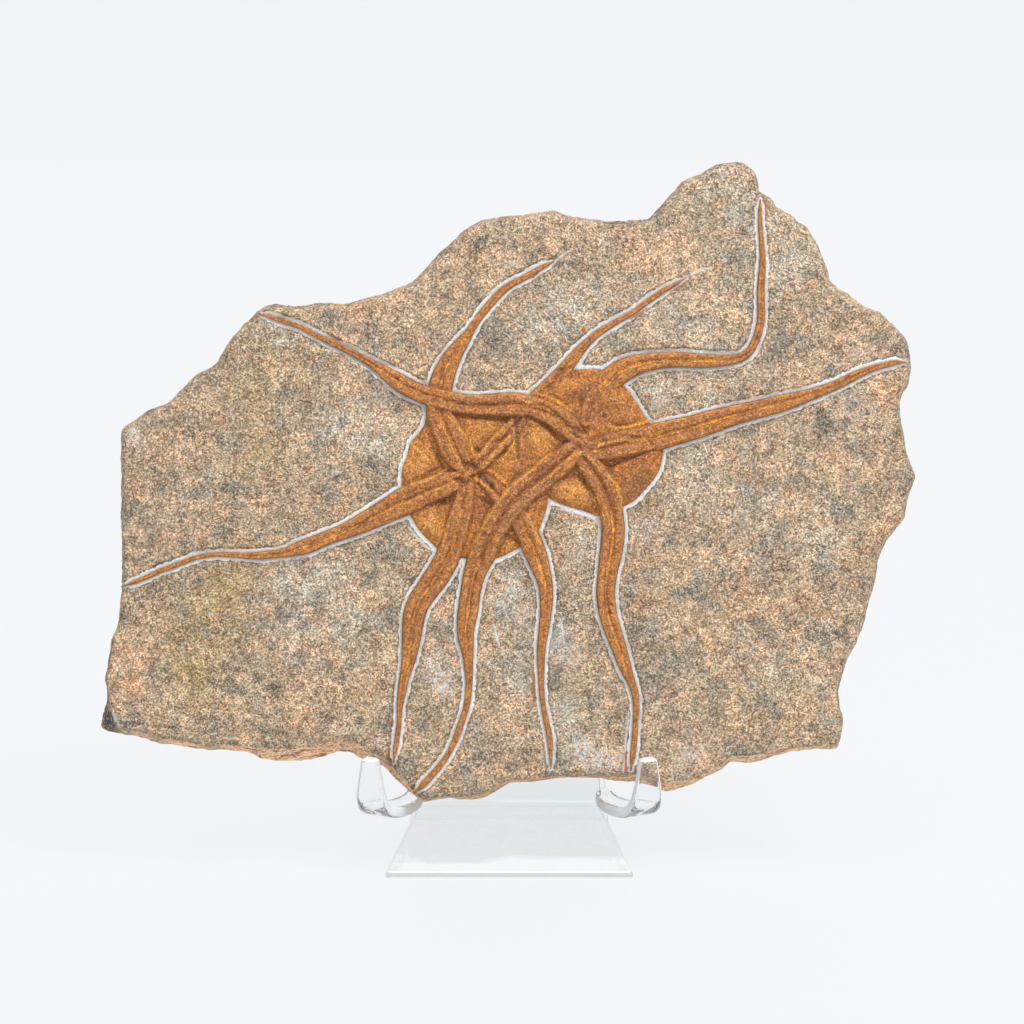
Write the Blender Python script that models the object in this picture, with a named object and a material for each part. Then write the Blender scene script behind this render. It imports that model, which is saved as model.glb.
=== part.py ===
"""Brittle star plate on a clear bent stand.

Two parts, Z up, front face towards -Y. The slab is a leaning plate of
sandstone with two overlapping five-armed stars in low relief, each with a
narrow cut groove round it. The stand is one bent clear sheet. Lengths in the
tables are millimetres; the meshes are written in metres.
"""

import bpy
import bmesh
import numpy as np
from math import cos, radians, sin
from mathutils import Vector
from mathutils.geometry import delaunay_2d_cdt

MM = 0.001

# Slab: across, up and lean of the plate.
SLAB_LEAN = radians(12.0)
SLAB_THICKNESS = 15.0
SLAB_CENTRE_HEIGHT = 90.65
SHOULDER_DROP = 0.6
WIDEST_DEPTH_TOP = 4.0
WIDEST_DEPTH_FOOT = 7.0
FOOT_BAND_TOP = -45.0
BACK_INSET = 2.0
LOWER_SIDE_DEPTH = 11.0
LOWER_SIDE_INSET = 0.8
SIDE_ROUGHNESS = 0.5
BACK_HOLLOW = 0.8
FACE_WAVE = 0.45
FACE_STEP = 9.0
BACK_STEP = 11.0

# Stars: groove round them, ridges along the arms, domes of the discs.
GROOVE_DEPTH = 0.9
GROOVE_WALL = 0.2
GROOVE_FLOOR_END = 0.9
GROOVE_LIP = 1.15
ARM_BASE_RIDGE = 0.35
ARM_RIDGE_PER_WIDTH = 0.42
ARM_SECTION = ((-1.0, -0.2), (-0.5, 1.0), (0.0, 0.5), (0.5, 1.0), (1.0, -0.2))
DISC_EDGE_HEIGHT = -0.3
DISC_ROUNDING = 5.0
DISC_BLEND = 9.0
LEFT_DISC_RISE = 1.0
RIGHT_DISC_RISE = 1.7
DISC_STEP = 3.2
RIM_MARGIN = 1.4
POINT_SPACING = 0.16
GAP_SLACK = 0.05
EDGE_SLACK = 0.02
UNSEEN = -99.0
ROCK_CLEARANCE = 2.2
BACK_CLEARANCE = 3.0

# Outline of the plate seen square on: across, up, inset of the face edge.
SLAB_OUTLINE = (
    (-97.8, 20.2, 0.8), (-95.0, 22.5, 0.8), (-90.0, 25.8, 0.8), (-86.2, 27.5, 0.9),
    (-82.5, 31.2, 0.9), (-78.8, 34.8, 0.9), (-74.5, 36.8, 1.0), (-72.5, 40.2, 1.0),
    (-70.0, 44.2, 0.9), (-67.2, 47.2, 0.9), (-63.2, 51.0, 0.9), (-59.2, 52.0, 0.8),
    (-54.5, 51.5, 0.8), (-47.8, 52.5, 0.9), (-41.8, 52.0, 1.0), (-37.5, 53.2, 0.9),
    (-32.0, 54.8, 0.9), (-25.0, 57.8, 1.0), (-22.2, 60.5, 1.0), (-19.0, 64.0, 1.0),
    (-15.8, 66.8, 1.0), (-13.0, 69.8, 1.0), (-10.2, 71.8, 0.9), (-7.8, 73.2, 0.9),
    (-3.2, 74.0, 0.8), (2.8, 74.5, 0.8), (10.2, 75.8, 0.9), (13.0, 74.8, 1.0),
    (16.2, 74.0, 1.0), (23.8, 72.8, 0.9), (28.8, 73.0, 0.9), (34.2, 73.5, 1.0),
    (36.5, 76.0, 1.0), (39.0, 78.8, 1.0), (43.0, 83.2, 1.0), (47.0, 84.8, 0.9),
    (50.8, 87.0, 0.9), (55.5, 87.8, 0.8), (58.2, 87.2, 0.8), (61.0, 85.0, 0.8),
    (62.2, 80.5, 0.8), (64.8, 79.0, 0.8), (66.5, 76.5, 0.9), (69.2, 75.0, 0.9),
    (71.5, 72.8, 0.9), (74.2, 71.2, 0.9), (77.2, 66.0, 1.0), (79.0, 61.5, 1.0),
    (79.8, 58.2, 1.0), (81.5, 56.2, 1.0), (84.8, 54.0, 1.0), (88.0, 51.5, 1.0),
    (92.5, 49.8, 1.0), (95.8, 46.8, 1.0), (98.8, 43.5, 1.0), (99.8, 39.5, 0.9),
    (100.0, 36.0, 0.9), (99.2, 31.8, 0.9), (97.5, 29.0, 0.9), (97.2, 25.2, 0.9),
    (98.0, 21.0, 0.9), (99.5, 12.8, 0.9), (101.0, 9.5, 0.8), (100.5, 6.5, 0.8),
    (99.0, 3.0, 0.9), (98.2, -2.0, 1.0), (96.2, -4.5, 1.0), (94.0, -7.5, 1.0),
    (92.2, -11.2, 1.0), (91.0, -17.8, 1.0), (89.2, -23.5, 1.0), (88.0, -28.5, 1.0),
    (86.5, -32.2, 1.0), (84.2, -36.5, 1.0), (82.8, -41.5, 1.0), (82.0, -44.8, 1.0),
    (82.2, -48.5, 1.0), (83.2, -51.5, 1.0), (83.0, -55.2, 1.2), (81.5, -59.6, 1.4),
    (76.2, -59.5, 1.3), (70.8, -60.0, 1.3), (67.0, -61.0, 1.8),
    (60.5, -63.0, 2.4), (55.0, -62.8, 1.6), (53.0, -64.5, 1.4), (49.0, -66.5, 1.5),
    (45.2, -68.5, 1.8), (39.5, -70.2, 2.6), (37.5, -69.8, 2.4), (32.0, -67.8, 2.3),
    (27.8, -68.0, 2.4), (21.5, -67.0, 1.2), (16.2, -66.8, 0.9), (10.8, -67.0, 0.9),
    (5.2, -67.8, 0.9), (-0.5, -68.2, 1.0), (-4.5, -70.5, 1.4), (-7.8, -72.0, 1.5),
    (-12.5, -72.5, 1.2), (-16.2, -72.0, 0.9), (-21.8, -72.8, 0.9), (-23.0, -72.5, 0.9),
    (-25.5, -70.5, 1.0), (-29.2, -67.2, 1.6), (-32.5, -63.8, 2.4), (-38.0, -61.8, 3.2),
    (-41.0, -60.0, 3.4), (-44.5, -60.5, 3.4), (-48.5, -62.0, 3.6), (-53.8, -62.8, 3.8),
    (-62.5, -62.2, 3.4), (-65.2, -61.0, 2.4), (-72.2, -59.5, 1.3), (-76.5, -59.8, 1.3),
    (-82.5, -58.8, 1.5), (-88.0, -58.2, 1.8), (-92.8, -56.8, 1.9), (-99.2, -55.8, 2.0),
    (-103.2, -54.2, 4.8), (-102.2, -49.8, 2.6), (-101.5, -46.5, 1.0), (-102.0, -42.0, 0.8),
    (-101.2, -37.2, 0.8), (-100.5, -32.2, 0.8), (-99.0, -28.5, 0.8), (-98.5, -23.8, 0.8),
    (-98.0, -18.0, 0.8), (-98.0, -2.0, 0.8), (-98.0, 9.0, 0.8),
)

# Arm axes: across, up, half width, extra height where one lies on another.
RIGHT_STAR_ARMS = {
    "west": (
        (-63.3, 49.6, 0.45, 0.0), (-60.5, 49.0, 0.5, 0.0), (-58.0, 47.9, 0.58, 0.0),
        (-52.9, 46.4, 0.62, 0.0), (-50.6, 45.1, 0.62, 0.0), (-47.9, 43.7, 0.7, 0.0),
        (-44.9, 42.3, 0.78, 0.0), (-41.0, 40.4, 0.85, 0.0), (-37.2, 38.4, 0.95, 0.0),
        (-35.2, 37.3, 1.05, 0.0), (-33.3, 36.0, 1.25, 0.0), (-31.4, 34.6, 1.75, 0.0),
        (-29.5, 33.3, 2.05, 0.0), (-27.5, 31.9, 2.35, 0.1), (-23.7, 30.0, 2.25, 0.3),
        (-20.5, 29.0, 2.5, 0.6), (-16.5, 27.8, 2.6, 0.9), (-12.8, 26.9, 2.6, 0.8),
        (-9.6, 26.6, 2.7, 0.7), (-5.0, 26.7, 2.9, 0.7), (0.0, 26.9, 3.1, 0.7),
        (4.0, 26.4, 3.0, 0.5), (8.3, 25.2, 3.0, 0.3), (12.3, 22.9, 3.0, 0.1),
        (14.5, 20.8, 2.8, 0.0), (17.0, 17.6, 2.2, 0.0),
    ),
    "north": (
        (62.1, 78.3, 0.45, 0.0), (62.0, 74.8, 0.5, 0.0), (62.1, 71.0, 0.55, 0.0),
        (62.4, 67.8, 0.6, 0.0), (62.7, 63.5, 0.75, 0.0), (62.6, 60.9, 0.87, 0.0),
        (62.2, 57.0, 0.92, 0.0), (62.25, 52.5, 1.0, 0.0), (62.4, 48.9, 1.0, 0.0),
        (62.0, 46.5, 1.0, 0.0), (61.4, 44.0, 1.0, 0.0), (60.3, 41.4, 1.05, 0.0),
        (58.8, 39.4, 1.1, 0.0), (57.0, 38.4, 1.15, 0.0), (54.0, 38.0, 1.35, 0.0),
        (50.6, 37.8, 1.6, 0.0), (47.0, 37.8, 1.85, 0.0), (43.0, 38.1, 1.95, 0.0),
        (38.4, 38.0, 1.98, 0.0), (35.4, 37.7, 2.1, 0.0), (32.3, 37.2, 2.4, 0.0),
        (30.0, 36.5, 2.7, 0.0), (27.4, 35.4, 3.0, 0.0), (23.5, 32.3, 3.0, -0.3),
        (20.0, 27.5, 2.6, -0.6), (18.5, 23.0, 2.0, -0.8),
    ),
    "east": (
        (98.6, 37.4, 0.45, 0.0), (97.0, 37.7, 0.65, 0.0), (95.0, 37.2, 0.65, 0.0),
        (92.8, 36.7, 0.72, 0.0), (90.7, 36.1, 0.8, 0.0), (88.5, 35.4, 0.9, 0.0),
        (86.3, 34.4, 1.1, 0.0), (84.1, 33.3, 1.15, 0.0), (81.9, 32.1, 1.15, 0.0),
        (77.6, 30.4, 1.3, 0.0), (73.2, 28.9, 1.6, 0.0), (71.0, 28.2, 1.9, 0.0),
        (66.7, 27.0, 2.2, 0.0), (62.3, 25.9, 2.3, 0.0), (58.0, 24.9, 2.4, 0.0),
        (53.6, 23.7, 2.7, 0.0), (49.3, 22.4, 3.0, 0.0), (44.9, 21.0, 3.1, 0.0),
        (40.5, 20.0, 3.3, 0.0), (36.9, 19.0, 3.5, 0.0), (32.3, 17.9, 3.6, 0.0),
        (28.0, 17.2, 3.6, 0.0), (24.0, 16.2, 3.4, 0.0), (20.0, 15.2, 2.6, 0.0),
        (17.5, 16.0, 2.0, 0.0),
    ),
    "south": (
        (29.75, -64.6, 0.6, 0.0), (30.2, -61.0, 0.7, 0.0), (30.6, -57.0, 0.7, 0.0),
        (30.9, -52.5, 0.7, 0.0), (31.15, -48.5, 0.77, 0.0), (30.8, -45.0, 0.9, 0.0),
        (29.75, -42.3, 1.05, 0.0), (28.7, -39.9, 1.4, 0.0), (27.9, -37.5, 1.7, 0.0),
        (26.3, -32.6, 2.0, 0.0), (24.9, -28.7, 2.15, 0.0), (23.9, -25.3, 2.3, 0.0),
        (23.3, -20.0, 2.35, 0.0), (23.9, -15.0, 2.45, 0.0), (24.6, -11.1, 2.8, 0.0),
        (25.2, -7.0, 2.95, 0.0), (25.4, -3.5, 2.9, 0.0), (24.7, 0.2, 3.0, 0.0),
        (24.2, 2.8, 3.1, 0.0), (22.8, 6.4, 3.3, 0.0), (20.6, 10.0, 3.2, 0.0),
        (18.5, 12.8, 2.9, 0.0), (16.8, 15.2, 2.3, 0.0),
    ),
    "south_west": (
        (-24.3, -70.1, 0.85, 0.0), (-21.5, -67.4, 0.82, 0.0), (-19.7, -65.4, 0.75, 0.0),
        (-17.9, -63.3, 0.75, 0.0), (-16.4, -61.3, 0.72, 0.0), (-15.2, -59.2, 0.65, 0.0),
        (-14.3, -57.2, 0.75, 0.0), (-13.5, -55.1, 0.85, 0.0), (-12.1, -51.0, 0.78, 0.0),
        (-11.4, -49.0, 0.75, 0.0), (-11.0, -46.5, 0.82, 0.0), (-10.65, -42.0, 0.85, 0.0),
        (-10.8, -39.5, 1.05, 0.0), (-10.95, -37.1, 1.25, 0.0), (-11.15, -34.6, 1.55, 0.0),
        (-11.5, -32.2, 1.95, 0.0), (-11.7, -29.7, 2.15, 0.0), (-11.4, -27.2, 2.4, 0.0),
        (-11.0, -24.8, 2.6, 0.0), (-10.4, -19.9, 2.5, 0.0), (-9.75, -17.0, 2.65, 0.0),
        (-9.3, -14.9, 2.8, 0.0), (-7.9, -11.6, 3.3, 0.1), (-6.7, -8.8, 3.4, 0.3),
        (-5.0, -5.6, 3.4, 0.4), (-3.3, -2.4, 3.4, 0.4), (-0.8, 1.4, 3.6, 0.4),
        (2.3, 4.7, 3.7, 0.4), (5.8, 7.6, 3.8, 0.3), (9.6, 10.4, 3.8, 0.2),
        (13.0, 13.0, 3.4, 0.1), (16.2, 16.2, 2.6, 0.0),
    ),
}
LEFT_STAR_ARMS = {
    "north": (
        (10.9, 62.8, 0.3, 0.0), (9.1, 62.05, 0.5, 0.0), (6.9, 61.0, 0.6, 0.0),
        (5.1, 59.8, 0.72, 0.0), (3.3, 58.7, 0.75, 0.0), (1.5, 57.8, 0.75, 0.0),
        (-0.3, 57.0, 0.8, 0.0), (-2.1, 55.7, 0.95, 0.0), (-3.6, 54.2, 1.0, 0.0),
        (-5.6, 51.9, 0.97, 0.0), (-7.5, 49.7, 0.95, 0.0), (-9.3, 47.2, 0.95, 0.0),
        (-10.4, 45.3, 1.05, 0.0), (-12.1, 42.9, 1.6, 0.0), (-13.8, 40.6, 2.0, 0.0),
        (-15.2, 38.3, 2.4, 0.0), (-16.4, 36.0, 2.65, 0.0), (-17.3, 33.7, 2.9, 0.0),
        (-17.9, 31.0, 3.05, 0.0), (-18.3, 27.5, 3.2, 0.0), (-18.0, 24.2, 3.5, 0.0),
        (-16.7, 21.2, 3.9, 0.0), (-15.3, 18.0, 4.1, 0.0), (-14.1, 14.8, 3.8, 0.0),
        (-12.6, 12.2, 2.8, 0.0), (-11.0, 10.5, 1.8, 0.0),
    ),
    "north_east": (
        (43.7, 58.8, 0.3, 0.0), (41.9, 57.6, 0.4, 0.0), (40.1, 56.5, 0.45, 0.0),
        (38.3, 55.7, 0.6, 0.0), (36.1, 54.2, 0.65, 0.0), (33.9, 52.7, 0.7, 0.0),
        (31.6, 50.9, 0.65, 0.0), (29.8, 49.6, 0.68, 0.0), (27.1, 48.2, 0.68, 0.0),
        (24.9, 46.9, 0.75, 0.0), (22.6, 45.6, 0.88, 0.0), (20.4, 43.9, 0.9, 0.0),
        (18.6, 42.2, 1.0, 0.0), (16.8, 40.3, 1.35, 0.0), (14.95, 37.9, 1.55, 0.0),
        (13.3, 35.8, 1.75, 0.0), (9.5, 31.5, 2.1, 0.0), (4.5, 26.5, 2.3, 0.0),
        (0.5, 21.5, 2.4, 0.0), (-1.5, 19.0, 2.4, 0.0), (-4.5, 15.9, 2.4, 0.0),
        (-7.4, 12.8, 2.2, 0.0), (-9.5, 10.8, 1.4, 0.0),
    ),
    "west": (
        (-97.5, -18.6, 0.45, 0.0), (-94.9, -17.7, 0.52, 0.0), (-92.3, -16.65, 0.52, 0.0),
        (-89.7, -15.5, 0.6, 0.0), (-87.2, -14.3, 0.6, 0.0), (-84.6, -13.5, 0.63, 0.0),
        (-82.0, -12.5, 0.6, 0.0), (-79.5, -11.4, 0.58, 0.0), (-76.9, -10.9, 0.58, 0.0),
        (-74.4, -10.55, 0.55, 0.0), (-69.2, -10.7, 0.65, 0.0), (-66.7, -10.9, 0.78, 0.0),
        (-64.1, -11.0, 0.95, 0.0), (-61.5, -10.8, 1.0, 0.0), (-59.0, -10.5, 0.98, 0.0),
        (-56.4, -10.1, 1.15, 0.0), (-54.9, -9.6, 1.5, 0.0), (-52.8, -8.9, 1.9, 0.0),
        (-50.8, -8.4, 1.95, 0.0), (-48.7, -7.5, 1.85, 0.0), (-46.2, -6.4, 1.78, 0.0),
        (-43.6, -5.5, 1.85, 0.0), (-41.0, -4.5, 2.05, 0.0), (-38.5, -3.35, 2.35, 0.0),
        (-35.9, -2.0, 2.6, 0.0), (-33.3, -0.7, 2.85, 0.0), (-30.8, 0.6, 3.1, 0.0),
        (-28.2, 2.0, 3.4, 0.0), (-25.6, 3.2, 3.7, 0.0), (-22.4, 4.5, 3.6, 0.0),
        (-19.2, 5.9, 3.5, 0.0), (-16.0, 7.0, 3.1, 0.0), (-13.0, 8.4, 2.3, 0.0),
    ),
    "south_west": (
        (-29.6, -62.8, 0.45, 0.0), (-29.3, -60.0, 0.52, 0.0), (-28.8, -57.2, 0.6, 0.0),
        (-28.4, -54.5, 0.63, 0.0), (-28.1, -51.0, 0.6, 0.0), (-28.15, -49.6, 0.58, 0.0),
        (-28.1, -48.4, 0.82, 0.0), (-27.7, -46.1, 1.0, 0.0), (-27.3, -43.6, 1.15, 0.0),
        (-27.0, -41.2, 1.22, 0.0), (-26.1, -38.7, 1.5, 0.0), (-25.7, -36.2, 1.9, 0.0),
        (-25.4, -33.8, 2.15, 0.0), (-25.1, -31.3, 2.4, 0.0), (-24.9, -28.9, 2.6, 0.0),
        (-24.6, -26.4, 2.8, 0.0), (-24.1, -24.3, 2.85, 0.0), (-23.2, -22.2, 2.85, 0.0),
        (-21.5, -19.8, 2.95, 0.0), (-19.8, -17.4, 3.1, 0.0), (-18.0, -14.9, 3.2, 0.0),
        (-16.7, -12.6, 3.1, 0.0), (-15.2, -9.0, 3.1, 0.0), (-14.1, -5.5, 3.1, 0.0),
        (-13.2, -2.3, 3.0, 0.0), (-12.4, 0.8, 2.9, 0.0), (-11.8, 4.5, 2.4, 0.0),
        (-11.3, 7.5, 1.6, 0.0),
    ),
    "south": (
        (9.7, -64.2, 0.35, 0.0), (9.75, -61.9, 0.48, 0.0), (9.65, -59.6, 0.42, 0.0),
        (9.6, -57.6, 0.75, 0.0), (9.1, -54.5, 0.7, 0.0), (8.4, -51.6, 0.65, 0.0),
        (7.85, -48.7, 0.6, 0.0), (7.45, -45.8, 0.65, 0.0), (7.3, -42.0, 0.72, 0.0),
        (7.25, -39.0, 0.85, 0.0), (7.2, -36.0, 1.03, 0.0), (7.4, -33.0, 1.13, 0.0),
        (7.7, -31.1, 1.2, 0.0), (8.15, -28.2, 1.4, 0.0), (8.45, -25.3, 1.45, 0.0),
        (8.65, -22.5, 1.65, 0.0), (8.6, -19.5, 1.72, 0.0), (8.2, -17.0, 1.9, 0.0),
        (7.65, -15.5, 2.1, 0.0), (6.55, -12.1, 2.6, 0.0), (5.3, -8.8, 2.85, 0.0),
        (3.9, -5.6, 2.9, 0.0), (2.0, -1.8, 2.7, 0.0), (-1.0, 2.0, 2.5, 0.0),
        (-4.5, 5.6, 2.2, 0.0), (-6.8, 8.0, 1.6, 0.0),
    ),
}
ARMS = tuple(RIGHT_STAR_ARMS.values()) + tuple(LEFT_STAR_ARMS.values())

RIGHT_DISC = (
    (5.1, 30.5), (6.8, 31.7), (8.3, 33.1), (10.2, 34.3), (12.0, 35.2), (15.4, 35.7),
    (19.1, 35.8), (21.2, 36.0), (24.5, 35.2), (27.4, 32.2), (28.6, 31.2), (29.8, 29.7),
    (31.1, 27.8), (32.3, 25.7), (33.5, 23.8), (34.8, 22.2), (37.0, 18.8), (38.0, 15.4),
    (37.8, 13.7), (37.4, 11.5), (36.6, 9.7), (35.4, 7.8), (33.8, 6.0), (32.3, 4.2),
    (30.8, 2.8), (29.2, 1.8), (27.7, 1.3), (24.5, -1.0), (21.2, -1.2), (19.7, -0.5),
    (17.2, 0.4), (14.8, 1.0), (12.3, 1.8), (9.9, 2.9), (6.0, 5.5), (3.0, 8.8),
    (1.4, 12.5), (0.9, 16.0), (0.8, 20.0), (0.9, 24.0), (2.2, 27.5),
)
LEFT_DISC = (
    (-21.3, 26.0), (-21.6, 23.4), (-21.9, 21.7), (-23.3, 19.9), (-25.2, 18.0),
    (-25.9, 16.7), (-26.4, 13.5), (-27.4, 11.9), (-27.8, 10.3), (-27.8, 8.4),
    (-27.7, 6.4), (-27.2, 2.5), (-25.4, -1.1), (-24.0, -3.8), (-22.1, -6.1),
    (-19.8, -8.3), (-18.4, -9.7), (-15.5, -11.2), (-11.5, -11.8), (-8.0, -12.6),
    (-4.9, -12.2), (-1.6, -10.9), (0.4, -9.9), (2.5, -8.6), (5.0, -7.0), (6.9, -4.8),
    (7.7, -2.5), (8.5, 0.0), (9.3, 2.3), (8.5, 8.0), (5.8, 18.0), (2.0, 27.0),
    (-4.0, 28.5), (-12.0, 28.5), (-17.0, 28.0),
)
# Soft bulges between the arms: across, up, radius, rise.
LOBES = (
    (-22.8, 12.8, 4.0, 0.9), (-8.0, 21.3, 3.2, 0.8), (6.2, 19.0, 3.8, 0.9),
    (-20.2, -3.8, 3.8, 0.8), (-1.0, -8.5, 2.2, 0.5), (15.3, 4.6, 3.8, 0.9),
    (31.5, 8.3, 4.6, 0.6), (13.5, 31.0, 4.0, 0.5), (27.0, 27.0, 5.0, 0.6),
    (7.2, 1.0, 1.6, 0.4), (16.4, 14.4, 1.8, 0.6),
)
# Mouth hollows and the deep corners between arms: across, up, radius, depth.
HOLLOWS = (
    (-10.3, 11.6, 1.2, 0.9), (-12.6, 7.6, 1.0, 0.7), (-6.7, 8.8, 1.2, 0.8),
    (-5.1, 6.3, 0.8, 0.5), (-16.8, 2.6, 1.8, 0.7), (-8.9, 15.2, 0.9, 0.5),
    (-1.2, -5.8, 0.8, 0.5), (16.7, 20.2, 1.2, 0.6), (17.8, 15.9, 0.9, 0.5),
    (24.4, 11.4, 1.0, 0.6), (22.4, 18.6, 1.2, 0.4), (11.3, 18.9, 1.1, 0.4),
)

# Stand: one bent sheet, side line given as depth, height and half width.
SHEET = 3.0
STAND_SHIFT = -1.0
BEND_STEPS = 6
FOOT_CUT = 0.45
STAND_LINE = (
    (-16.31, 1.19, 31.0, 0.0), (0.97, 14.47, 23.2, 4.0), (14.9, 80.0, 19.5, 4.4),
    (23.9, 80.0, 19.5, 4.4), (31.4, 0.0, 25.9, 0.0),
)
# Hook axis: across from the middle, depth, height, half width, turn of the strip.
HOOK_LINE = (
    (20.2, 2.0, 17.2, 4.2, 36.0), (21.6, -0.8, 16.3, 4.2, 36.0), (24.6, -4.6, 15.95, 4.1, 36.0),
    (28.4, -8.8, 15.95, 4.0, 34.0), (31.0, -11.6, 16.4, 3.9, 30.0), (32.4, -13.6, 17.6, 3.8, 26.0),
    (33.1, -15.0, 19.4, 3.7, 22.0), (33.4, -15.8, 21.6, 3.5, 20.0), (33.5, -16.2, 25.6, 2.8, 20.0),
    (33.5, -16.5, 31.0, 1.95, 20.0),
)


def clear_scene():
    """Empty the file of its starting objects."""
    for item in list(bpy.data.objects):
        bpy.data.objects.remove(item, do_unlink=True)


def plain_material(name, colour, roughness, alpha=1.0, transmission=0.0, ior=1.5):
    """Make a Principled material with plain values."""
    material = bpy.data.materials.new(name)
    material.use_nodes = True
    shader = material.node_tree.nodes["Principled BSDF"]
    shader.inputs["Base Color"].default_value = (*colour, 1.0)
    shader.inputs["Roughness"].default_value = roughness
    shader.inputs["Metallic"].default_value = 0.0
    shader.inputs["Alpha"].default_value = alpha
    shader.inputs["Transmission Weight"].default_value = transmission
    shader.inputs["IOR"].default_value = ior
    return material


def smooth(values):
    """Ease values between nought and one."""
    x = np.clip(values, 0.0, 1.0)
    return x * x * (3.0 - 2.0 * x)


def ring_normals(ring):
    """Outward unit normals of a clockwise ring of points."""
    tangent = np.roll(ring, -1, axis=0) - np.roll(ring, 1, axis=0)
    length = np.linalg.norm(tangent, axis=1, keepdims=True)
    tangent = tangent / length
    return np.stack((-tangent[:, 1], tangent[:, 0]), axis=1)


def segment_distances(points, starts, ends):
    """Distance and place along each segment, for every point."""
    run = ends - starts
    length = np.maximum((run * run).sum(axis=1), 1e-9)
    offset = points[:, None, :] - starts[None, :, :]
    place = np.clip((offset * run[None]).sum(axis=2) / length, 0.0, 1.0)
    gap = offset - place[:, :, None] * run[None]
    return np.sqrt((gap * gap).sum(axis=2)), place


def polygon_distance(points, ring):
    """Signed distance to a closed ring, negative inside it."""
    ends = np.roll(ring, -1, axis=0)
    distance = segment_distances(points, ring, ends)[0].min(axis=1)
    x, y = points[:, 0:1], points[:, 1:2]
    crosses = (ring[None, :, 1] > y) != (ends[None, :, 1] > y)
    rise = np.where(ends[:, 1] == ring[:, 1], 1e-9, ends[:, 1] - ring[:, 1])
    at = (ends[:, 0] - ring[:, 0])[None] * (y - ring[None, :, 1]) / rise[None] + ring[None, :, 0]
    inside = (np.logical_and(crosses, x < at).sum(axis=1) % 2) == 1
    return np.where(inside, -distance, distance)


def arm_place(points, arm):
    """Distance from an arm's axis, with its half width and lift there."""
    table = np.array(arm)
    distance, place = segment_distances(points, table[:-1, :2], table[1:, :2])
    nearest = distance.argmin(axis=1)
    rows = np.arange(len(points))
    share = place[rows, nearest]
    width = table[nearest, 2] * (1.0 - share) + table[nearest + 1, 2] * share
    lift = table[nearest, 3] * (1.0 - share) + table[nearest + 1, 3] * share
    return distance[rows, nearest], width, lift


def disc_base(points):
    """Soft swell that carries the arms over the discs."""
    left = smooth(-polygon_distance(points, np.array(LEFT_DISC)) / DISC_BLEND)
    right = smooth(-polygon_distance(points, np.array(RIGHT_DISC)) / DISC_BLEND)
    return np.maximum(left * LEFT_DISC_RISE, right * RIGHT_DISC_RISE)


def arm_height(points, arm, base):
    """Height of the double ridge of one arm, very low outside it."""
    distance, width, lift = arm_place(points, arm)
    section = np.array(ARM_SECTION)
    share = np.interp(distance / width, section[2:, 0], section[2:, 1])
    crest = ARM_BASE_RIDGE + ARM_RIDGE_PER_WIDTH * width
    height = base + lift + crest * share
    return np.where(distance <= width + EDGE_SLACK, height, UNSEEN), distance - width


def disc_height(points, ring, rise):
    """Height of one rounded disc, very low outside it."""
    distance = polygon_distance(points, np.array(ring))
    share = 1.0 - (1.0 - np.clip(-distance / DISC_ROUNDING, 0.0, 1.0)) ** 2
    height = DISC_EDGE_HEIGHT + (rise - DISC_EDGE_HEIGHT) * share
    return np.where(distance <= EDGE_SLACK, height, UNSEEN), distance


def bumps(points, table):
    """Sum of soft round bumps."""
    total = np.zeros(len(points))
    for across, up, radius, rise in table:
        gap = (points[:, 0] - across) ** 2 + (points[:, 1] - up) ** 2
        total += rise * np.exp(-gap / (radius * radius))
    return total


def star_surface(points):
    """Height of both stars and the distance to their common edge."""
    base = disc_base(points)
    lobes = bumps(points, LOBES)
    heights = []
    distances = []
    for ring, rise in ((LEFT_DISC, LEFT_DISC_RISE), (RIGHT_DISC, RIGHT_DISC_RISE)):
        height, distance = disc_height(points, ring, rise)
        inner = smooth(-distance / DISC_ROUNDING)
        heights.append(height + lobes * inner)
        distances.append(distance)
    for arm in ARMS:
        height, distance = arm_height(points, arm, base)
        heights.append(height)
        distances.append(distance)
    height = np.max(heights, axis=0) - bumps(points, HOLLOWS)
    return height, np.min(distances, axis=0), np.array(heights)


def rock_surface(points):
    """Gentle unevenness of the bare rock face."""
    x, y = points[:, 0], points[:, 1]
    wave = np.sin(x * 0.071 + 1.3) * np.cos(y * 0.083 - 0.4)
    ripple = np.sin(x * 0.19 + y * 0.13 + 2.0) * np.cos(y * 0.21 - x * 0.06)
    return FACE_WAVE * (wave + 0.5 * ripple)


def face_height(points):
    """Height of the worked front face at each point."""
    height, distance, _ = star_surface(points)
    rock = rock_surface(points)
    floor = np.full(len(points), -GROOVE_DEPTH)
    wall = np.clip((distance - GROOVE_FLOOR_END) / (GROOVE_LIP - GROOVE_FLOOR_END), 0.0, 1.0)
    outside = floor * (1.0 - wall) + rock * wall
    return np.where(distance <= EDGE_SLACK, height, outside)


def arm_lines(arm, index):
    """Ridge, edge and groove lines that follow one arm."""
    table = np.array(arm)
    axis = table[:, :2]
    run = np.gradient(axis, axis=0)
    run = run / np.linalg.norm(run, axis=1, keepdims=True)
    side = np.stack((-run[:, 1], run[:, 0]), axis=1)
    width = table[:, 2:3]
    lines = []
    for share in (0.0, 0.5, -0.5, 1.0, -1.0):
        lines.append((axis + side * width * share, 0.0, index))
    for gap in (GROOVE_WALL, GROOVE_FLOOR_END, GROOVE_LIP):
        for sign in (1.0, -1.0):
            lines.append((axis + side * (width + gap) * sign, gap, index))
    return lines


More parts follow.
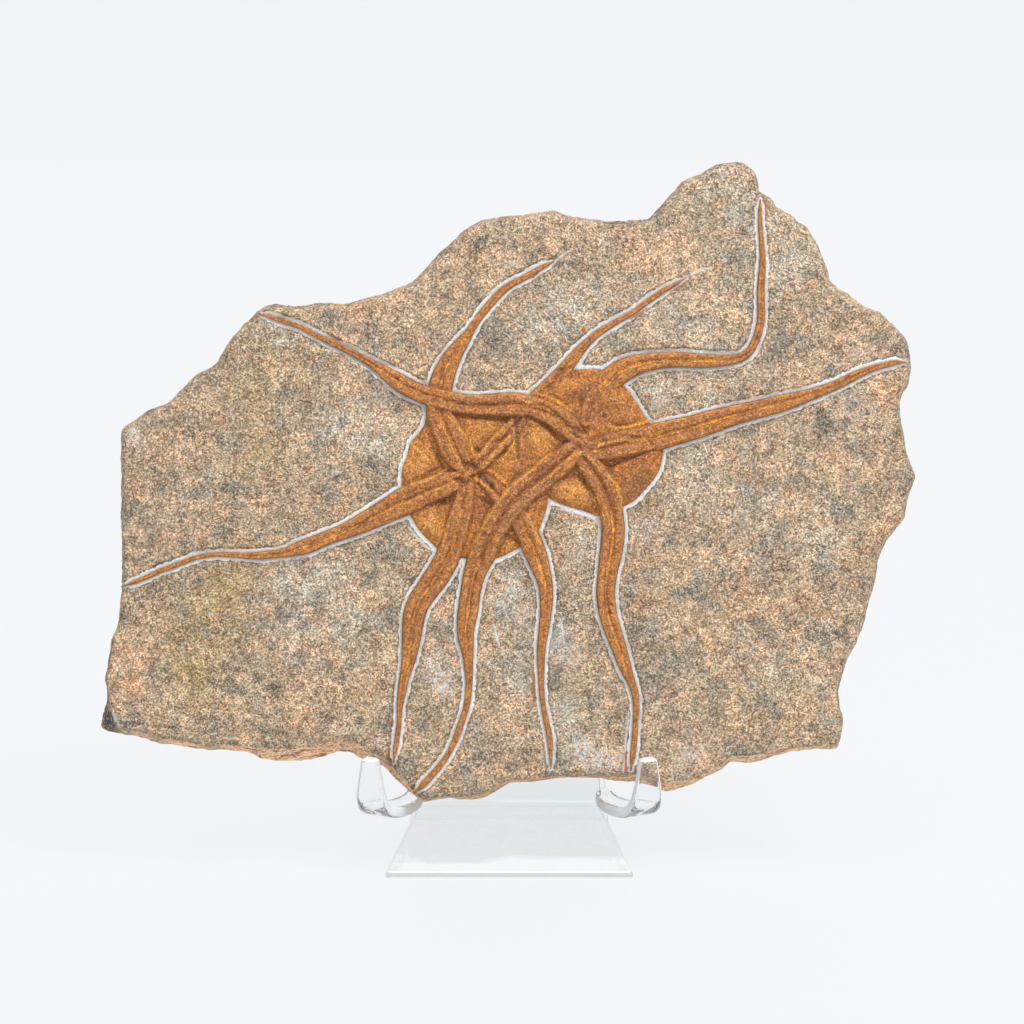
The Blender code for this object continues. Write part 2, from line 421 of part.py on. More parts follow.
def closed_line(ring, gap, index):
    """Disc edge pushed outwards by a gap and closed on itself."""
    points = np.array(ring)
    tangent = np.roll(points, -1, axis=0) - np.roll(points, 1, axis=0)
    area = (points[:, 0] * np.roll(points[:, 1], -1)).sum()
    area -= (points[:, 1] * np.roll(points[:, 0], -1)).sum()
    turn = 1.0 if area > 0.0 else -1.0
    normal = np.stack((tangent[:, 1], -tangent[:, 0]), axis=1) * turn
    normal = normal / np.linalg.norm(normal, axis=1, keepdims=True)
    moved = points + normal * gap
    return np.vstack((moved, moved[:1])), gap, index


def feature_lines():
    """All lines that the face mesh has to follow."""
    lines = []
    for index, ring in enumerate((LEFT_DISC, RIGHT_DISC)):
        for gap in (0.0, GROOVE_WALL, GROOVE_FLOOR_END, GROOVE_LIP):
            lines.append(closed_line(ring, gap, index))
    for index, arm in enumerate(ARMS):
        lines.extend(arm_lines(arm, index + 2))
    return lines


def line_keeps(points, gap, index, edge_ring):
    """Whether each point of a line lies on the surface that shows."""
    _, distance, parts = star_surface(points)
    inside_rim = polygon_distance(points, edge_ring) < -RIM_MARGIN
    if gap > 0.0:
        return np.logical_and(distance > gap - GAP_SLACK, inside_rim)
    seen = parts[index] > np.max(parts, axis=0) - GAP_SLACK
    return np.logical_and(seen, inside_rim)


class PlanMesh:
    """Points and edges of a flat drawing, with near points shared."""

    def __init__(self, spacing):
        self.spacing = spacing
        self.points = []
        self.edges = set()
        self.cells = {}

    def near(self, point):
        """Index of a point already within the spacing, if any."""
        column = int(point[0] // self.spacing)
        row = int(point[1] // self.spacing)
        for i in (column - 1, column, column + 1):
            for j in (row - 1, row, row + 1):
                for index in self.cells.get((i, j), ()):
                    other = self.points[index]
                    gap = (other[0] - point[0]) ** 2 + (other[1] - point[1]) ** 2
                    if gap < self.spacing ** 2:
                        return index
        return None

    def add(self, point):
        """Add a point, or give back the one already there."""
        found = self.near(point)
        if found is not None:
            return found
        cell = (int(point[0] // self.spacing), int(point[1] // self.spacing))
        self.points.append((float(point[0]), float(point[1])))
        self.cells.setdefault(cell, []).append(len(self.points) - 1)
        return len(self.points) - 1

    def join(self, first, second):
        """Add an edge between two points."""
        if first != second:
            self.edges.add((min(first, second), max(first, second)))

    def triangles(self, rim_count):
        """Triangulate inside the rim, which is the first points added."""
        points = [Vector(point) for point in self.points]
        rim = list(range(rim_count))
        result = delaunay_2d_cdt(points, sorted(self.edges), [rim], 1, 1e-5)
        return [tuple(point) for point in result[0]], [tuple(face) for face in result[2]]


def jittered_grid(low, high, step, seed):
    """Points of a grid moved a little so that no rows show."""
    random = np.random.default_rng(seed)
    across = np.arange(low[0], high[0], step)
    up = np.arange(low[1], high[1], step)
    grid = np.stack(np.meshgrid(across, up), axis=-1).reshape(-1, 2)
    return grid + random.uniform(-0.25, 0.25, grid.shape) * step


def face_plan(edge_ring):
    """Flat drawing of the front face with all its feature lines."""
    plan = PlanMesh(POINT_SPACING)
    rim = [plan.add(point) for point in edge_ring]
    for first, second in zip(rim, rim[1:] + rim[:1]):
        plan.join(first, second)
    for points, gap, index in feature_lines():
        keeps = line_keeps(points, gap, index, edge_ring)
        for first, second, a, b in zip(points[:-1], points[1:], keeps[:-1], keeps[1:]):
            if a and b:
                plan.join(plan.add(first), plan.add(second))
    low = edge_ring.min(axis=0)
    high = edge_ring.max(axis=0)
    rock = jittered_grid(low, high, FACE_STEP, 3)
    clear = star_surface(rock)[1] > ROCK_CLEARANCE
    clear = np.logical_and(clear, polygon_distance(rock, edge_ring) < -ROCK_CLEARANCE)
    for point in rock[clear]:
        plan.add(point)
    disc = jittered_grid((-30.0, -14.0), (40.0, 38.0), DISC_STEP, 5)
    for point in disc[star_surface(disc)[1] < -1.0]:
        plan.add(point)
    return plan, len(rim)


def slab_rings():
    """Rings of the slab's edge, from the front face to the back."""
    table = np.array(SLAB_OUTLINE)
    outline = table[:, :2]
    normal = ring_normals(outline)
    random = np.random.default_rng(11)
    front = outline - normal * table[:, 2:3]
    foot = smooth((FOOT_BAND_TOP - outline[:, 1]) / 10.0)
    widest = -(WIDEST_DEPTH_TOP * (1.0 - foot) + WIDEST_DEPTH_FOOT * foot)
    rough = random.uniform(-1.0, 1.0, len(outline)) * SIDE_ROUGHNESS
    inset = (LOWER_SIDE_INSET + np.abs(rough))[:, None]
    lower = outline - normal * inset
    lower_depth = np.full(len(outline), -LOWER_SIDE_DEPTH) + rough
    back = outline - normal * (BACK_INSET + np.abs(rough))[:, None]
    back_depth = np.full(len(outline), -SLAB_THICKNESS + SHOULDER_DROP)
    return front, (outline, widest), (lower, lower_depth), (back, back_depth)


def back_surface(points, ring):
    """Height of the rough back, flat over its middle."""
    depth = smooth((-polygon_distance(points, ring) - 2.0) / 6.0)
    middle = smooth((np.abs(points[:, 0]) - 34.0) / 20.0)
    hollow = BACK_HOLLOW * middle * (0.5 + 0.5 * np.sin(points[:, 0] * 0.11 + points[:, 1] * 0.09))
    return -SLAB_THICKNESS + hollow + SHOULDER_DROP * (1.0 - depth)


def slab_point(across, up, out):
    """Place of a slab point in the leaning frame, in millimetres."""
    depth = up * sin(SLAB_LEAN) - out * cos(SLAB_LEAN)
    height = up * cos(SLAB_LEAN) + out * sin(SLAB_LEAN) + SLAB_CENTRE_HEIGHT
    return Vector((across, depth, height)) * MM


def new_object(name, points, faces, material):
    """Make an object from points in metres and a list of faces."""
    mesh = bpy.data.meshes.new(name)
    mesh.from_pydata(points, [], faces)
    mesh.materials.append(material)
    work = bmesh.new()
    work.from_mesh(mesh)
    bmesh.ops.recalc_face_normals(work, faces=work.faces)
    work.to_mesh(mesh)
    work.free()
    item = bpy.data.objects.new(name, mesh)
    bpy.context.scene.collection.objects.link(item)
    return item


def build_slab(material):
    """Slab of rock with both stars, as one closed mesh."""
    front, widest, lower, back = slab_rings()
    plan, count = face_plan(front)
    flat, triangles = plan.triangles(count)
    flat = np.array(flat)
    height = face_height(flat)
    height[:count] = rock_surface(flat[:count]) * 0.4 - SHOULDER_DROP
    points = [slab_point(x, y, z) for (x, y), z in zip(flat, height)]
    faces = [tuple(face) for face in triangles]
    previous = list(range(count))
    for ring, depth in (widest, lower, back):
        start = len(points)
        points.extend(slab_point(x, y, z) for (x, y), z in zip(ring, depth))
        current = list(range(start, start + count))
        faces.extend(ring_band(previous, current))
        previous = current
    plan_back = PlanMesh(POINT_SPACING)
    rim = [plan_back.add(point) for point in back[0]]
    for first, second in zip(rim, rim[1:] + rim[:1]):
        plan_back.join(first, second)
    grid = jittered_grid(back[0].min(axis=0), back[0].max(axis=0), BACK_STEP, 7)
    for point in grid[polygon_distance(grid, back[0]) < -BACK_CLEARANCE]:
        plan_back.add(point)
    flat_back, back_faces = plan_back.triangles(count)
    flat_back = np.array(flat_back)
    depth = back_surface(flat_back, back[0])
    start = len(points) - count
    points.extend(slab_point(x, y, z) for (x, y), z in zip(flat_back[count:], depth[count:]))
    faces.extend(tuple(start + corner for corner in face) for face in back_faces)
    return new_object("fossil_slab", points, faces, material)


def ring_band(first, second):
    """Triangles between two rings with matching points."""
    faces = []
    count = len(first)
    for i in range(count):
        j = (i + 1) % count
        faces.append((first[i], first[j], second[j]))
        faces.append((first[i], second[j], second[i]))
    return faces


def rounded_line(line, steps):
    """Replace each inner corner of the side line by an arc."""
    result = [(Vector(line[0][:2]), line[0][2])]
    for before, corner, after in zip(line[:-2], line[1:-1], line[2:]):
        point = Vector(corner[:2])
        back = (Vector(before[:2]) - point).normalized()
        ahead = (Vector(after[:2]) - point).normalized()
        half = back.angle(ahead) / 2.0
        reach = corner[3] / np.tan(half)
        centre = point + (back + ahead).normalized() * (corner[3] / sin(half))
        begin = point + back * reach - centre
        end = point + ahead * reach - centre
        for step in range(steps + 1):
            share = step / steps
            spoke = begin.slerp(end, share) if begin.angle(end) > 1e-3 else begin
            result.append((centre + spoke.normalized() * corner[3], corner[2]))
    result.append((Vector(line[-1][:2]), line[-1][2]))
    return result


def sheet_sections(stations):
    """Four corners of the sheet at every station of the side line."""
    sections = []
    for i, (point, half) in enumerate(stations):
        before = stations[max(i - 1, 0)][0]
        after = stations[min(i + 1, len(stations) - 1)][0]
        run = (after - before).normalized()
        normal = Vector((-run.y, run.x)) * (SHEET / 2.0)
        outer = point + normal
        inner = point - normal
        sections.append((outer, inner, half))
    return sections


def stand_points(sections):
    """Corner points of the swept sheet in metres."""
    points = []
    for outer, inner, half in sections:
        for place, sign in ((outer, -1), (outer, 1), (inner, 1), (inner, -1)):
            across = STAND_SHIFT + sign * half
            points.append(Vector((across, place.x, place.y)) * MM)
    return points


def swept_faces(count):
    """Faces of a closed tube with four corners a station."""
    faces = []
    for i in range(count - 1):
        for j in range(4):
            a = 4 * i + j
            b = 4 * i + (j + 1) % 4
            faces.append((a, b, b + 4, a + 4))
    last = 4 * (count - 1)
    faces.append((3, 2, 1, 0))
    faces.append((last, last + 1, last + 2, last + 3))
    return faces


def build_sheet(material):
    """Foot panel, back rest and rear leg as one bent sheet."""
    stations = rounded_line(STAND_LINE, BEND_STEPS)
    sections = sheet_sections(stations)
    foot = sections[-1]
    before = sections[-2]
    for corner in (0, 1):
        run = foot[corner] - before[corner]
        foot[corner].x -= run.x * (foot[corner].y / run.y)
        foot[corner].y = 0.0
    points = stand_points(sections)
    return new_object("display_stand", points, swept_faces(len(sections)), material)


def build_hook(name, side, material):
    """One forward strip that curls up into a lip."""
    axis = [Vector((side * row[0] + STAND_SHIFT, row[1], row[2])) for row in HOOK_LINE]
    points = []
    for i, row in enumerate(HOOK_LINE):
        before = axis[max(i - 1, 0)]
        after = axis[min(i + 1, len(axis) - 1)]
        run = (after - before).normalized()
        turn = radians(row[4])
        across = Vector((side * cos(turn), sin(turn), 0.0))
        across = (across - run * across.dot(run)).normalized()
        normal = run.cross(across).normalized() * (SHEET / 2.0)
        for along, out in ((-1, -1), (1, -1), (1, 1), (-1, 1)):
            place = axis[i] + across * row[3] * along + normal * out
            points.append(place * MM)
    return new_object(name, points, swept_faces(len(axis)), material)


def fuse(base, tool):
    """Join a second solid to the first and drop the second."""
    modifier = base.modifiers.new("join", "BOOLEAN")
    modifier.operation = "UNION"
    modifier.solver = "EXACT"
    modifier.object = tool
    apply_modifiers(base)
    bpy.data.objects.remove(tool, do_unlink=True)


def apply_modifiers(item):
    """Turn an object with modifiers into a plain mesh."""
    graph = bpy.context.evaluated_depsgraph_get()
    mesh = bpy.data.meshes.new_from_object(item.evaluated_get(graph))
    item.modifiers.clear()
    item.data = mesh


def flatten_foot(stand):
    """Cut the front foot's lower corner level with the table."""
    work = bmesh.new()
    work.from_mesh(stand.data)
    geometry = list(work.verts) + list(work.edges) + list(work.faces)
    level = Vector((0.0, 0.0, FOOT_CUT * MM))
    cut = bmesh.ops.bisect_plane(work, geom=geometry, plane_co=level,
                                 plane_no=Vector((0.0, 0.0, 1.0)), clear_inner=True)
    edges = [item for item in cut["geom_cut"] if isinstance(item, bmesh.types.BMEdge)]
    bmesh.ops.holes_fill(work, edges=edges)
    bmesh.ops.triangulate(work, faces=work.faces)
    bmesh.ops.recalc_face_normals(work, faces=work.faces)
    work.to_mesh(stand.data)
    work.free()


def build_stand(material):
    """Clear stand: sheet and two hooks fused into one body."""
    stand = build_sheet(material)
    for name, side in (("hook_left", -1.0), ("hook_right", 1.0)):
        fuse(stand, build_hook(name, side, material))
    flatten_foot(stand)
    return stand


def centre_on_origin(items):
    """Move everything so the origin is under the middle of the whole."""
    corners = np.array([vertex.co[:] for item in items for vertex in item.data.vertices])
    low = corners.min(axis=0)
    high = corners.max(axis=0)
    shift = Vector((-(low[0] + high[0]) / 2.0, -(low[1] + high[1]) / 2.0, -low[2]))
    for item in items:
        for vertex in item.data.vertices:
            vertex.co += shift


def main():
    """Build the slab and its stand."""
    clear_scene()
    stone = plain_material("speckled_sandstone", (0.38, 0.30, 0.22), 0.85)
    clear = plain_material("clear_acrylic", (0.95, 0.97, 0.97), 0.05, 0.35, 1.0, 1.49)
    slab = build_slab(stone)
    stand = build_stand(clear)
    for polygon in stand.data.polygons:
        polygon.use_smooth = False
    centre_on_origin((slab, stand))


main()
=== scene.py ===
"""Brittle star plate on a clear bent stand: fine form and finish of every piece.

The plate is one slab of sandstone that leans back on a one-piece clear stand.
Two overlapping five-armed stars stand proud of its face, each inside a narrow
ground groove. Tables are in millimetres on the plate: across to the right, up
along its face and out of its face. Meshes are written in metres, in the frame
of the construction model.
"""

import logging
from dataclasses import dataclass, field
from enum import Enum
from math import cos, pi, radians, sin

import bmesh
import bpy
import numpy as np
from mathutils import Matrix, Vector
from mathutils.geometry import delaunay_2d_cdt


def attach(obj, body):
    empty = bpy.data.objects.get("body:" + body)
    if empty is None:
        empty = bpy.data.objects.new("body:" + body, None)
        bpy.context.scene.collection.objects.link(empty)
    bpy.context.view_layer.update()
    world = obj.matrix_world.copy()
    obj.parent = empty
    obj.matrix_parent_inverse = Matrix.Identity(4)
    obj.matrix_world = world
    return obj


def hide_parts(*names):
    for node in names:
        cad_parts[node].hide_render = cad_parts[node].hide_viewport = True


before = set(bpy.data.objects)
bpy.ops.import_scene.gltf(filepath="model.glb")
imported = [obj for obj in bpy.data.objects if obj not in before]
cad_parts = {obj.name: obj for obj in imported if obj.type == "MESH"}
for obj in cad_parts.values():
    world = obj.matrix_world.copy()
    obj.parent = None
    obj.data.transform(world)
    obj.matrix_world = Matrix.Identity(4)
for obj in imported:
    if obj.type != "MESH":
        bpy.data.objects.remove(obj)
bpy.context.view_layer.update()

log = logging.getLogger("brittle_star_plate")

MM = 0.001
BODY = "root"
BATCH = 2000
PLATE_LEAN = radians(12.0)
PLATE_THICKNESS = 15.0
GRIND_DEPTH = 0.22
GRIND_END = 0.35
GRIND_LIP = 1.15
STAND_ZONE = 0.05
STAND_FADE = 0.01
CHIP_DEPTH = 0.03

Rows = tuple[tuple[float, ...], ...]
Values = np.ndarray
Socket = bpy.types.NodeSocket
Colour = tuple[float, float, float, float]

# Outline of the plate seen square on: across, up, inset of the face edge.
PLATE_OUTLINE: Rows = (
    (-97.8, 20.2, 0.8), (-95, 22.5, 0.8), (-90, 25.8, 0.8), (-86.2, 27.5, 0.9), (-82.5, 31.2, 0.9),
    (-78.8, 34.8, 0.9), (-74.5, 36.8, 1), (-72.5, 40.2, 1), (-70, 44.2, 0.9), (-67.2, 47.2, 0.9),
    (-63.2, 51, 0.9), (-59.2, 52, 0.8), (-54.5, 51.5, 0.8), (-47.8, 52.5, 0.9), (-41.8, 52, 1),
    (-37.5, 53.2, 0.9), (-32, 54.8, 0.9), (-25, 57.8, 1), (-22.2, 60.5, 1), (-19, 64, 1),
    (-15.8, 66.8, 1), (-13, 69.8, 1), (-10.2, 71.8, 0.9), (-7.8, 73.2, 0.9), (-3.2, 74, 0.8),
    (2.8, 74.5, 0.8), (10.2, 75.8, 0.9), (13, 74.8, 1), (16.2, 74, 1), (23.8, 72.8, 0.9),
    (28.8, 73, 0.9), (34.2, 73.5, 1), (36.5, 76, 1), (39, 78.8, 1), (43, 83.2, 1), (47, 84.8, 0.9),
    (50.8, 87, 0.9), (55.5, 87.8, 0.8), (58.2, 87.2, 0.8), (61, 85, 0.8), (62.2, 80.5, 0.8),
    (64.8, 79, 0.8), (66.5, 76.5, 0.9), (69.2, 75, 0.9), (71.5, 72.8, 0.9), (74.2, 71.2, 0.9),
    (77.2, 66, 1), (79, 61.5, 1), (79.8, 58.2, 1), (81.5, 56.2, 1), (84.8, 54, 1), (88, 51.5, 1),
    (92.5, 49.8, 1), (95.8, 46.8, 1), (98.8, 43.5, 1), (99.8, 39.5, 0.9), (100, 36, 0.9),
    (99.2, 31.8, 0.9), (97.5, 29, 0.9), (97.2, 25.2, 0.9), (98, 21, 0.9), (99.5, 12.8, 0.9),
    (101, 9.5, 0.8), (100.5, 6.5, 0.8), (99, 3, 0.9), (98.2, -2, 1), (96.2, -4.5, 1),
    (94, -7.5, 1), (92.2, -11.2, 1), (91, -17.8, 1), (89.2, -23.5, 1), (88, -28.5, 1),
    (86.5, -32.2, 1), (84.2, -36.5, 1), (82.8, -41.5, 1), (82, -44.8, 1), (82.2, -48.5, 1),
    (83.2, -51.5, 1), (83, -55.2, 1.2), (81.5, -59.6, 1.4), (76.2, -59.5, 1.3), (70.8, -60, 1.3),
    (67, -61, 1.8), (60.5, -63, 2.4), (55, -62.8, 1.6), (53, -64.5, 1.4), (49, -66.5, 1.5),
    (45.2, -68.5, 1.8), (39.5, -70.2, 2.6), (37.5, -69.8, 2.4), (32, -67.8, 2.3), (27.8, -68, 2.4),
    (21.5, -67, 1.2), (16.2, -66.8, 0.9), (10.8, -67, 0.9), (5.2, -67.8, 0.9), (-0.5, -68.2, 1),
    (-4.5, -70.5, 1.4), (-7.8, -72, 1.5), (-12.5, -72.5, 1.2), (-16.2, -72, 0.9),
    (-21.8, -72.8, 0.9), (-23, -72.5, 0.9), (-25.5, -70.5, 1), (-29.2, -67.2, 1.6),
    (-32.5, -63.8, 2.4), (-38, -61.8, 3.2), (-41, -60, 3.4), (-44.5, -60.5, 3.4),
    (-48.5, -62, 3.6), (-53.8, -62.8, 3.8), (-62.5, -62.2, 3.4), (-65.2, -61, 2.4),
    (-72.2, -59.5, 1.3), (-76.5, -59.8, 1.3), (-82.5, -58.8, 1.5), (-88, -58.2, 1.8),
    (-92.8, -56.8, 1.9), (-99.2, -55.8, 2), (-103.2, -54.2, 4.8), (-102.2, -49.8, 2.6),
    (-101.5, -46.5, 1), (-102, -42, 0.8), (-101.2, -37.2, 0.8), (-100.5, -32.2, 0.8),
    (-99, -28.5, 0.8), (-98.5, -23.8, 0.8), (-98, -18, 0.8), (-98, -2, 0.8), (-98, 9, 0.8),
)

# Arm axes from tip to mouth: across, up, half width, extra height, nought where not given.
RIGHT_STAR_ARMS: dict[str, Rows] = {
    "west": (
        (-63.3, 49.6, 0.45), (-60.5, 49, 0.5), (-58, 47.9, 0.58), (-52.9, 46.4, 0.62),
        (-50.6, 45.1, 0.62), (-47.9, 43.7, 0.7), (-44.9, 42.3, 0.78), (-41, 40.4, 0.85),
        (-37.2, 38.4, 0.95), (-35.2, 37.3, 1.05), (-33.3, 36, 1.25), (-31.4, 34.6, 1.75),
        (-29.5, 33.3, 2.05), (-27.5, 31.9, 2.35, 0.1), (-23.7, 30, 2.25, 0.3),
        (-20.5, 29, 2.5, 0.6), (-16.5, 27.8, 2.6, 0.9), (-12.8, 26.9, 2.6, 0.8),
        (-9.6, 26.6, 2.7, 0.7), (-5, 26.7, 2.9, 0.7), (0, 26.9, 3.1, 0.7), (4, 26.4, 3, 0.5),
        (8.3, 25.2, 3, 0.3), (12.3, 22.9, 3, 0.1), (14.5, 20.8, 2.8), (17, 17.6, 2.2),
    ),
    "north": (
        (62.1, 78.3, 0.45), (62, 74.8, 0.5), (62.1, 71, 0.55), (62.4, 67.8, 0.6),
        (62.7, 63.5, 0.75), (62.6, 60.9, 0.87), (62.2, 57, 0.92), (62.25, 52.5, 1),
        (62.4, 48.9, 1), (62, 46.5, 1), (61.4, 44, 1), (60.3, 41.4, 1.05), (58.8, 39.4, 1.1),
        (57, 38.4, 1.15), (54, 38, 1.35), (50.6, 37.8, 1.6), (47, 37.8, 1.85), (43, 38.1, 1.95),
        (38.4, 38, 1.98), (35.4, 37.7, 2.1), (32.3, 37.2, 2.4), (30, 36.5, 2.7), (27.4, 35.4, 3),
        (23.5, 32.3, 3, -0.3), (20, 27.5, 2.6, -0.6), (18.5, 23, 2, -0.8),
    ),
    "east": (
        (98.6, 37.4, 0.45), (97, 37.7, 0.65), (95, 37.2, 0.65), (92.8, 36.7, 0.72),
        (90.7, 36.1, 0.8), (88.5, 35.4, 0.9), (86.3, 34.4, 1.1), (84.1, 33.3, 1.15),
        (81.9, 32.1, 1.15), (77.6, 30.4, 1.3), (73.2, 28.9, 1.6), (71, 28.2, 1.9), (66.7, 27, 2.2),
        (62.3, 25.9, 2.3), (58, 24.9, 2.4), (53.6, 23.7, 2.7), (49.3, 22.4, 3), (44.9, 21, 3.1),
        (40.5, 20, 3.3), (36.9, 19, 3.5), (32.3, 17.9, 3.6), (28, 17.2, 3.6), (24, 16.2, 3.4),
        (20, 15.2, 2.6), (17.5, 16, 2),
    ),
    "south": (
        (29.75, -64.6, 0.6), (30.2, -61, 0.7), (30.6, -57, 0.7), (30.9, -52.5, 0.7),
        (31.15, -48.5, 0.77), (30.8, -45, 0.9), (29.75, -42.3, 1.05), (28.7, -39.9, 1.4),
        (27.9, -37.5, 1.7), (26.3, -32.6, 2), (24.9, -28.7, 2.15), (23.9, -25.3, 2.3),
        (23.3, -20, 2.35), (23.9, -15, 2.45), (24.6, -11.1, 2.8), (25.2, -7, 2.95),
        (25.4, -3.5, 2.9), (24.7, 0.2, 3), (24.2, 2.8, 3.1), (22.8, 6.4, 3.3), (20.6, 10, 3.2),
        (18.5, 12.8, 2.9), (16.8, 15.2, 2.3),
    ),
    "south_west": (
        (-24.3, -70.1, 0.85), (-21.5, -67.4, 0.82), (-19.7, -65.4, 0.75), (-17.9, -63.3, 0.75),
        (-16.4, -61.3, 0.72), (-15.2, -59.2, 0.65), (-14.3, -57.2, 0.75), (-13.5, -55.1, 0.85),
        (-12.1, -51, 0.78), (-11.4, -49, 0.75), (-11, -46.5, 0.82), (-10.65, -42, 0.85),
        (-10.8, -39.5, 1.05), (-10.95, -37.1, 1.25), (-11.15, -34.6, 1.55), (-11.5, -32.2, 1.95),
        (-11.7, -29.7, 2.15), (-11.4, -27.2, 2.4), (-11, -24.8, 2.6), (-10.4, -19.9, 2.5),
        (-9.75, -17, 2.65), (-9.3, -14.9, 2.8), (-7.9, -11.6, 3.3, 0.1), (-6.7, -8.8, 3.4, 0.3),
        (-5, -5.6, 3.4, 0.4), (-3.3, -2.4, 3.4, 0.4), (-0.8, 1.4, 3.6, 0.4), (2.3, 4.7, 3.7, 0.4),
        (5.8, 7.6, 3.8, 0.3), (9.6, 10.4, 3.8, 0.2), (13, 13, 3.4, 0.1), (16.2, 16.2, 2.6),
    ),
}
LEFT_STAR_ARMS: dict[str, Rows] = {
    "north": (
        (10.9, 62.8, 0.3), (9.1, 62.05, 0.5), (6.9, 61, 0.6), (5.1, 59.8, 0.72), (3.3, 58.7, 0.75),
        (1.5, 57.8, 0.75), (-0.3, 57, 0.8), (-2.1, 55.7, 0.95), (-3.6, 54.2, 1),
        (-5.6, 51.9, 0.97), (-7.5, 49.7, 0.95), (-9.3, 47.2, 0.95), (-10.4, 45.3, 1.05),
        (-12.1, 42.9, 1.6), (-13.8, 40.6, 2), (-15.2, 38.3, 2.4), (-16.4, 36, 2.65),
        (-17.3, 33.7, 2.9), (-17.9, 31, 3.05), (-18.3, 27.5, 3.2), (-18, 24.2, 3.5),
        (-16.7, 21.2, 3.9), (-15.3, 18, 4.1), (-14.1, 14.8, 3.8), (-12.6, 12.2, 2.8),
        (-11, 10.5, 1.8),
    ),
    "north_east": (
        (43.7, 58.8, 0.3), (41.9, 57.6, 0.4), (40.1, 56.5, 0.45), (38.3, 55.7, 0.6),
        (36.1, 54.2, 0.65), (33.9, 52.7, 0.7), (31.6, 50.9, 0.65), (29.8, 49.6, 0.68),
        (27.1, 48.2, 0.68), (24.9, 46.9, 0.75), (22.6, 45.6, 0.88), (20.4, 43.9, 0.9),
        (18.6, 42.2, 1), (16.8, 40.3, 1.35), (14.95, 37.9, 1.55), (13.3, 35.8, 1.75),
        (9.5, 31.5, 2.1), (4.5, 26.5, 2.3), (0.5, 21.5, 2.4), (-1.5, 19, 2.4), (-4.5, 15.9, 2.4),
        (-7.4, 12.8, 2.2), (-9.5, 10.8, 1.4),
    ),
    "west": (
        (-97.5, -18.6, 0.45), (-94.9, -17.7, 0.52), (-92.3, -16.65, 0.52), (-89.7, -15.5, 0.6),
        (-87.2, -14.3, 0.6), (-84.6, -13.5, 0.63), (-82, -12.5, 0.6), (-79.5, -11.4, 0.58),
        (-76.9, -10.9, 0.58), (-74.4, -10.55, 0.55), (-69.2, -10.7, 0.65), (-66.7, -10.9, 0.78),
        (-64.1, -11, 0.95), (-61.5, -10.8, 1), (-59, -10.5, 0.98), (-56.4, -10.1, 1.15),
        (-54.9, -9.6, 1.5), (-52.8, -8.9, 1.9), (-50.8, -8.4, 1.95), (-48.7, -7.5, 1.85),
        (-46.2, -6.4, 1.78), (-43.6, -5.5, 1.85), (-41, -4.5, 2.05), (-38.5, -3.35, 2.35),
        (-35.9, -2, 2.6), (-33.3, -0.7, 2.85), (-30.8, 0.6, 3.1), (-28.2, 2, 3.4),
        (-25.6, 3.2, 3.7), (-22.4, 4.5, 3.6), (-19.2, 5.9, 3.5), (-16, 7, 3.1), (-13, 8.4, 2.3),
    ),
    "south_west": (
        (-29.6, -62.8, 0.45), (-29.3, -60, 0.52), (-28.8, -57.2, 0.6), (-28.4, -54.5, 0.63),
        (-28.1, -51, 0.6), (-28.15, -49.6, 0.58), (-28.1, -48.4, 0.82), (-27.7, -46.1, 1),
        (-27.3, -43.6, 1.15), (-27, -41.2, 1.22), (-26.1, -38.7, 1.5), (-25.7, -36.2, 1.9),
        (-25.4, -33.8, 2.15), (-25.1, -31.3, 2.4), (-24.9, -28.9, 2.6), (-24.6, -26.4, 2.8),
        (-24.1, -24.3, 2.85), (-23.2, -22.2, 2.85), (-21.5, -19.8, 2.95), (-19.8, -17.4, 3.1),
        (-18, -14.9, 3.2), (-16.7, -12.6, 3.1), (-15.2, -9, 3.1), (-14.1, -5.5, 3.1),
        (-13.2, -2.3, 3), (-12.4, 0.8, 2.9), (-11.8, 4.5, 2.4), (-11.3, 7.5, 1.6),
    ),
    "south": (
        (9.7, -64.2, 0.35), (9.75, -61.9, 0.48), (9.65, -59.6, 0.42), (9.6, -57.6, 0.75),
        (9.1, -54.5, 0.7), (8.4, -51.6, 0.65), (7.85, -48.7, 0.6), (7.45, -45.8, 0.65),
        (7.3, -42, 0.72), (7.25, -39, 0.85), (7.2, -36, 1.03), (7.4, -33, 1.13), (7.7, -31.1, 1.2),
        (8.15, -28.2, 1.4), (8.45, -25.3, 1.45), (8.65, -22.5, 1.65), (8.6, -19.5, 1.72),
        (8.2, -17, 1.9), (7.65, -15.5, 2.1), (6.55, -12.1, 2.6), (5.3, -8.8, 2.85),
        (3.9, -5.6, 2.9), (2, -1.8, 2.7), (-1, 2, 2.5), (-4.5, 5.6, 2.2), (-6.8, 8, 1.6),
    ),
}
RIGHT_DISC: Rows = (
    (5.1, 30.5), (6.8, 31.7), (8.3, 33.1), (10.2, 34.3), (12, 35.2), (15.4, 35.7), (19.1, 35.8),
    (21.2, 36), (24.5, 35.2), (27.4, 32.2), (28.6, 31.2), (29.8, 29.7), (31.1, 27.8), (32.3, 25.7),
    (33.5, 23.8), (34.8, 22.2), (37, 18.8), (38, 15.4), (37.8, 13.7), (37.4, 11.5), (36.6, 9.7),
    (35.4, 7.8), (33.8, 6), (32.3, 4.2), (30.8, 2.8), (29.2, 1.8), (27.7, 1.3), (24.5, -1),
    (21.2, -1.2), (19.7, -0.5), (17.2, 0.4), (14.8, 1), (12.3, 1.8), (9.9, 2.9), (6, 5.5),
    (3, 8.8), (1.4, 12.5), (0.9, 16), (0.8, 20), (0.9, 24), (2.2, 27.5),
)
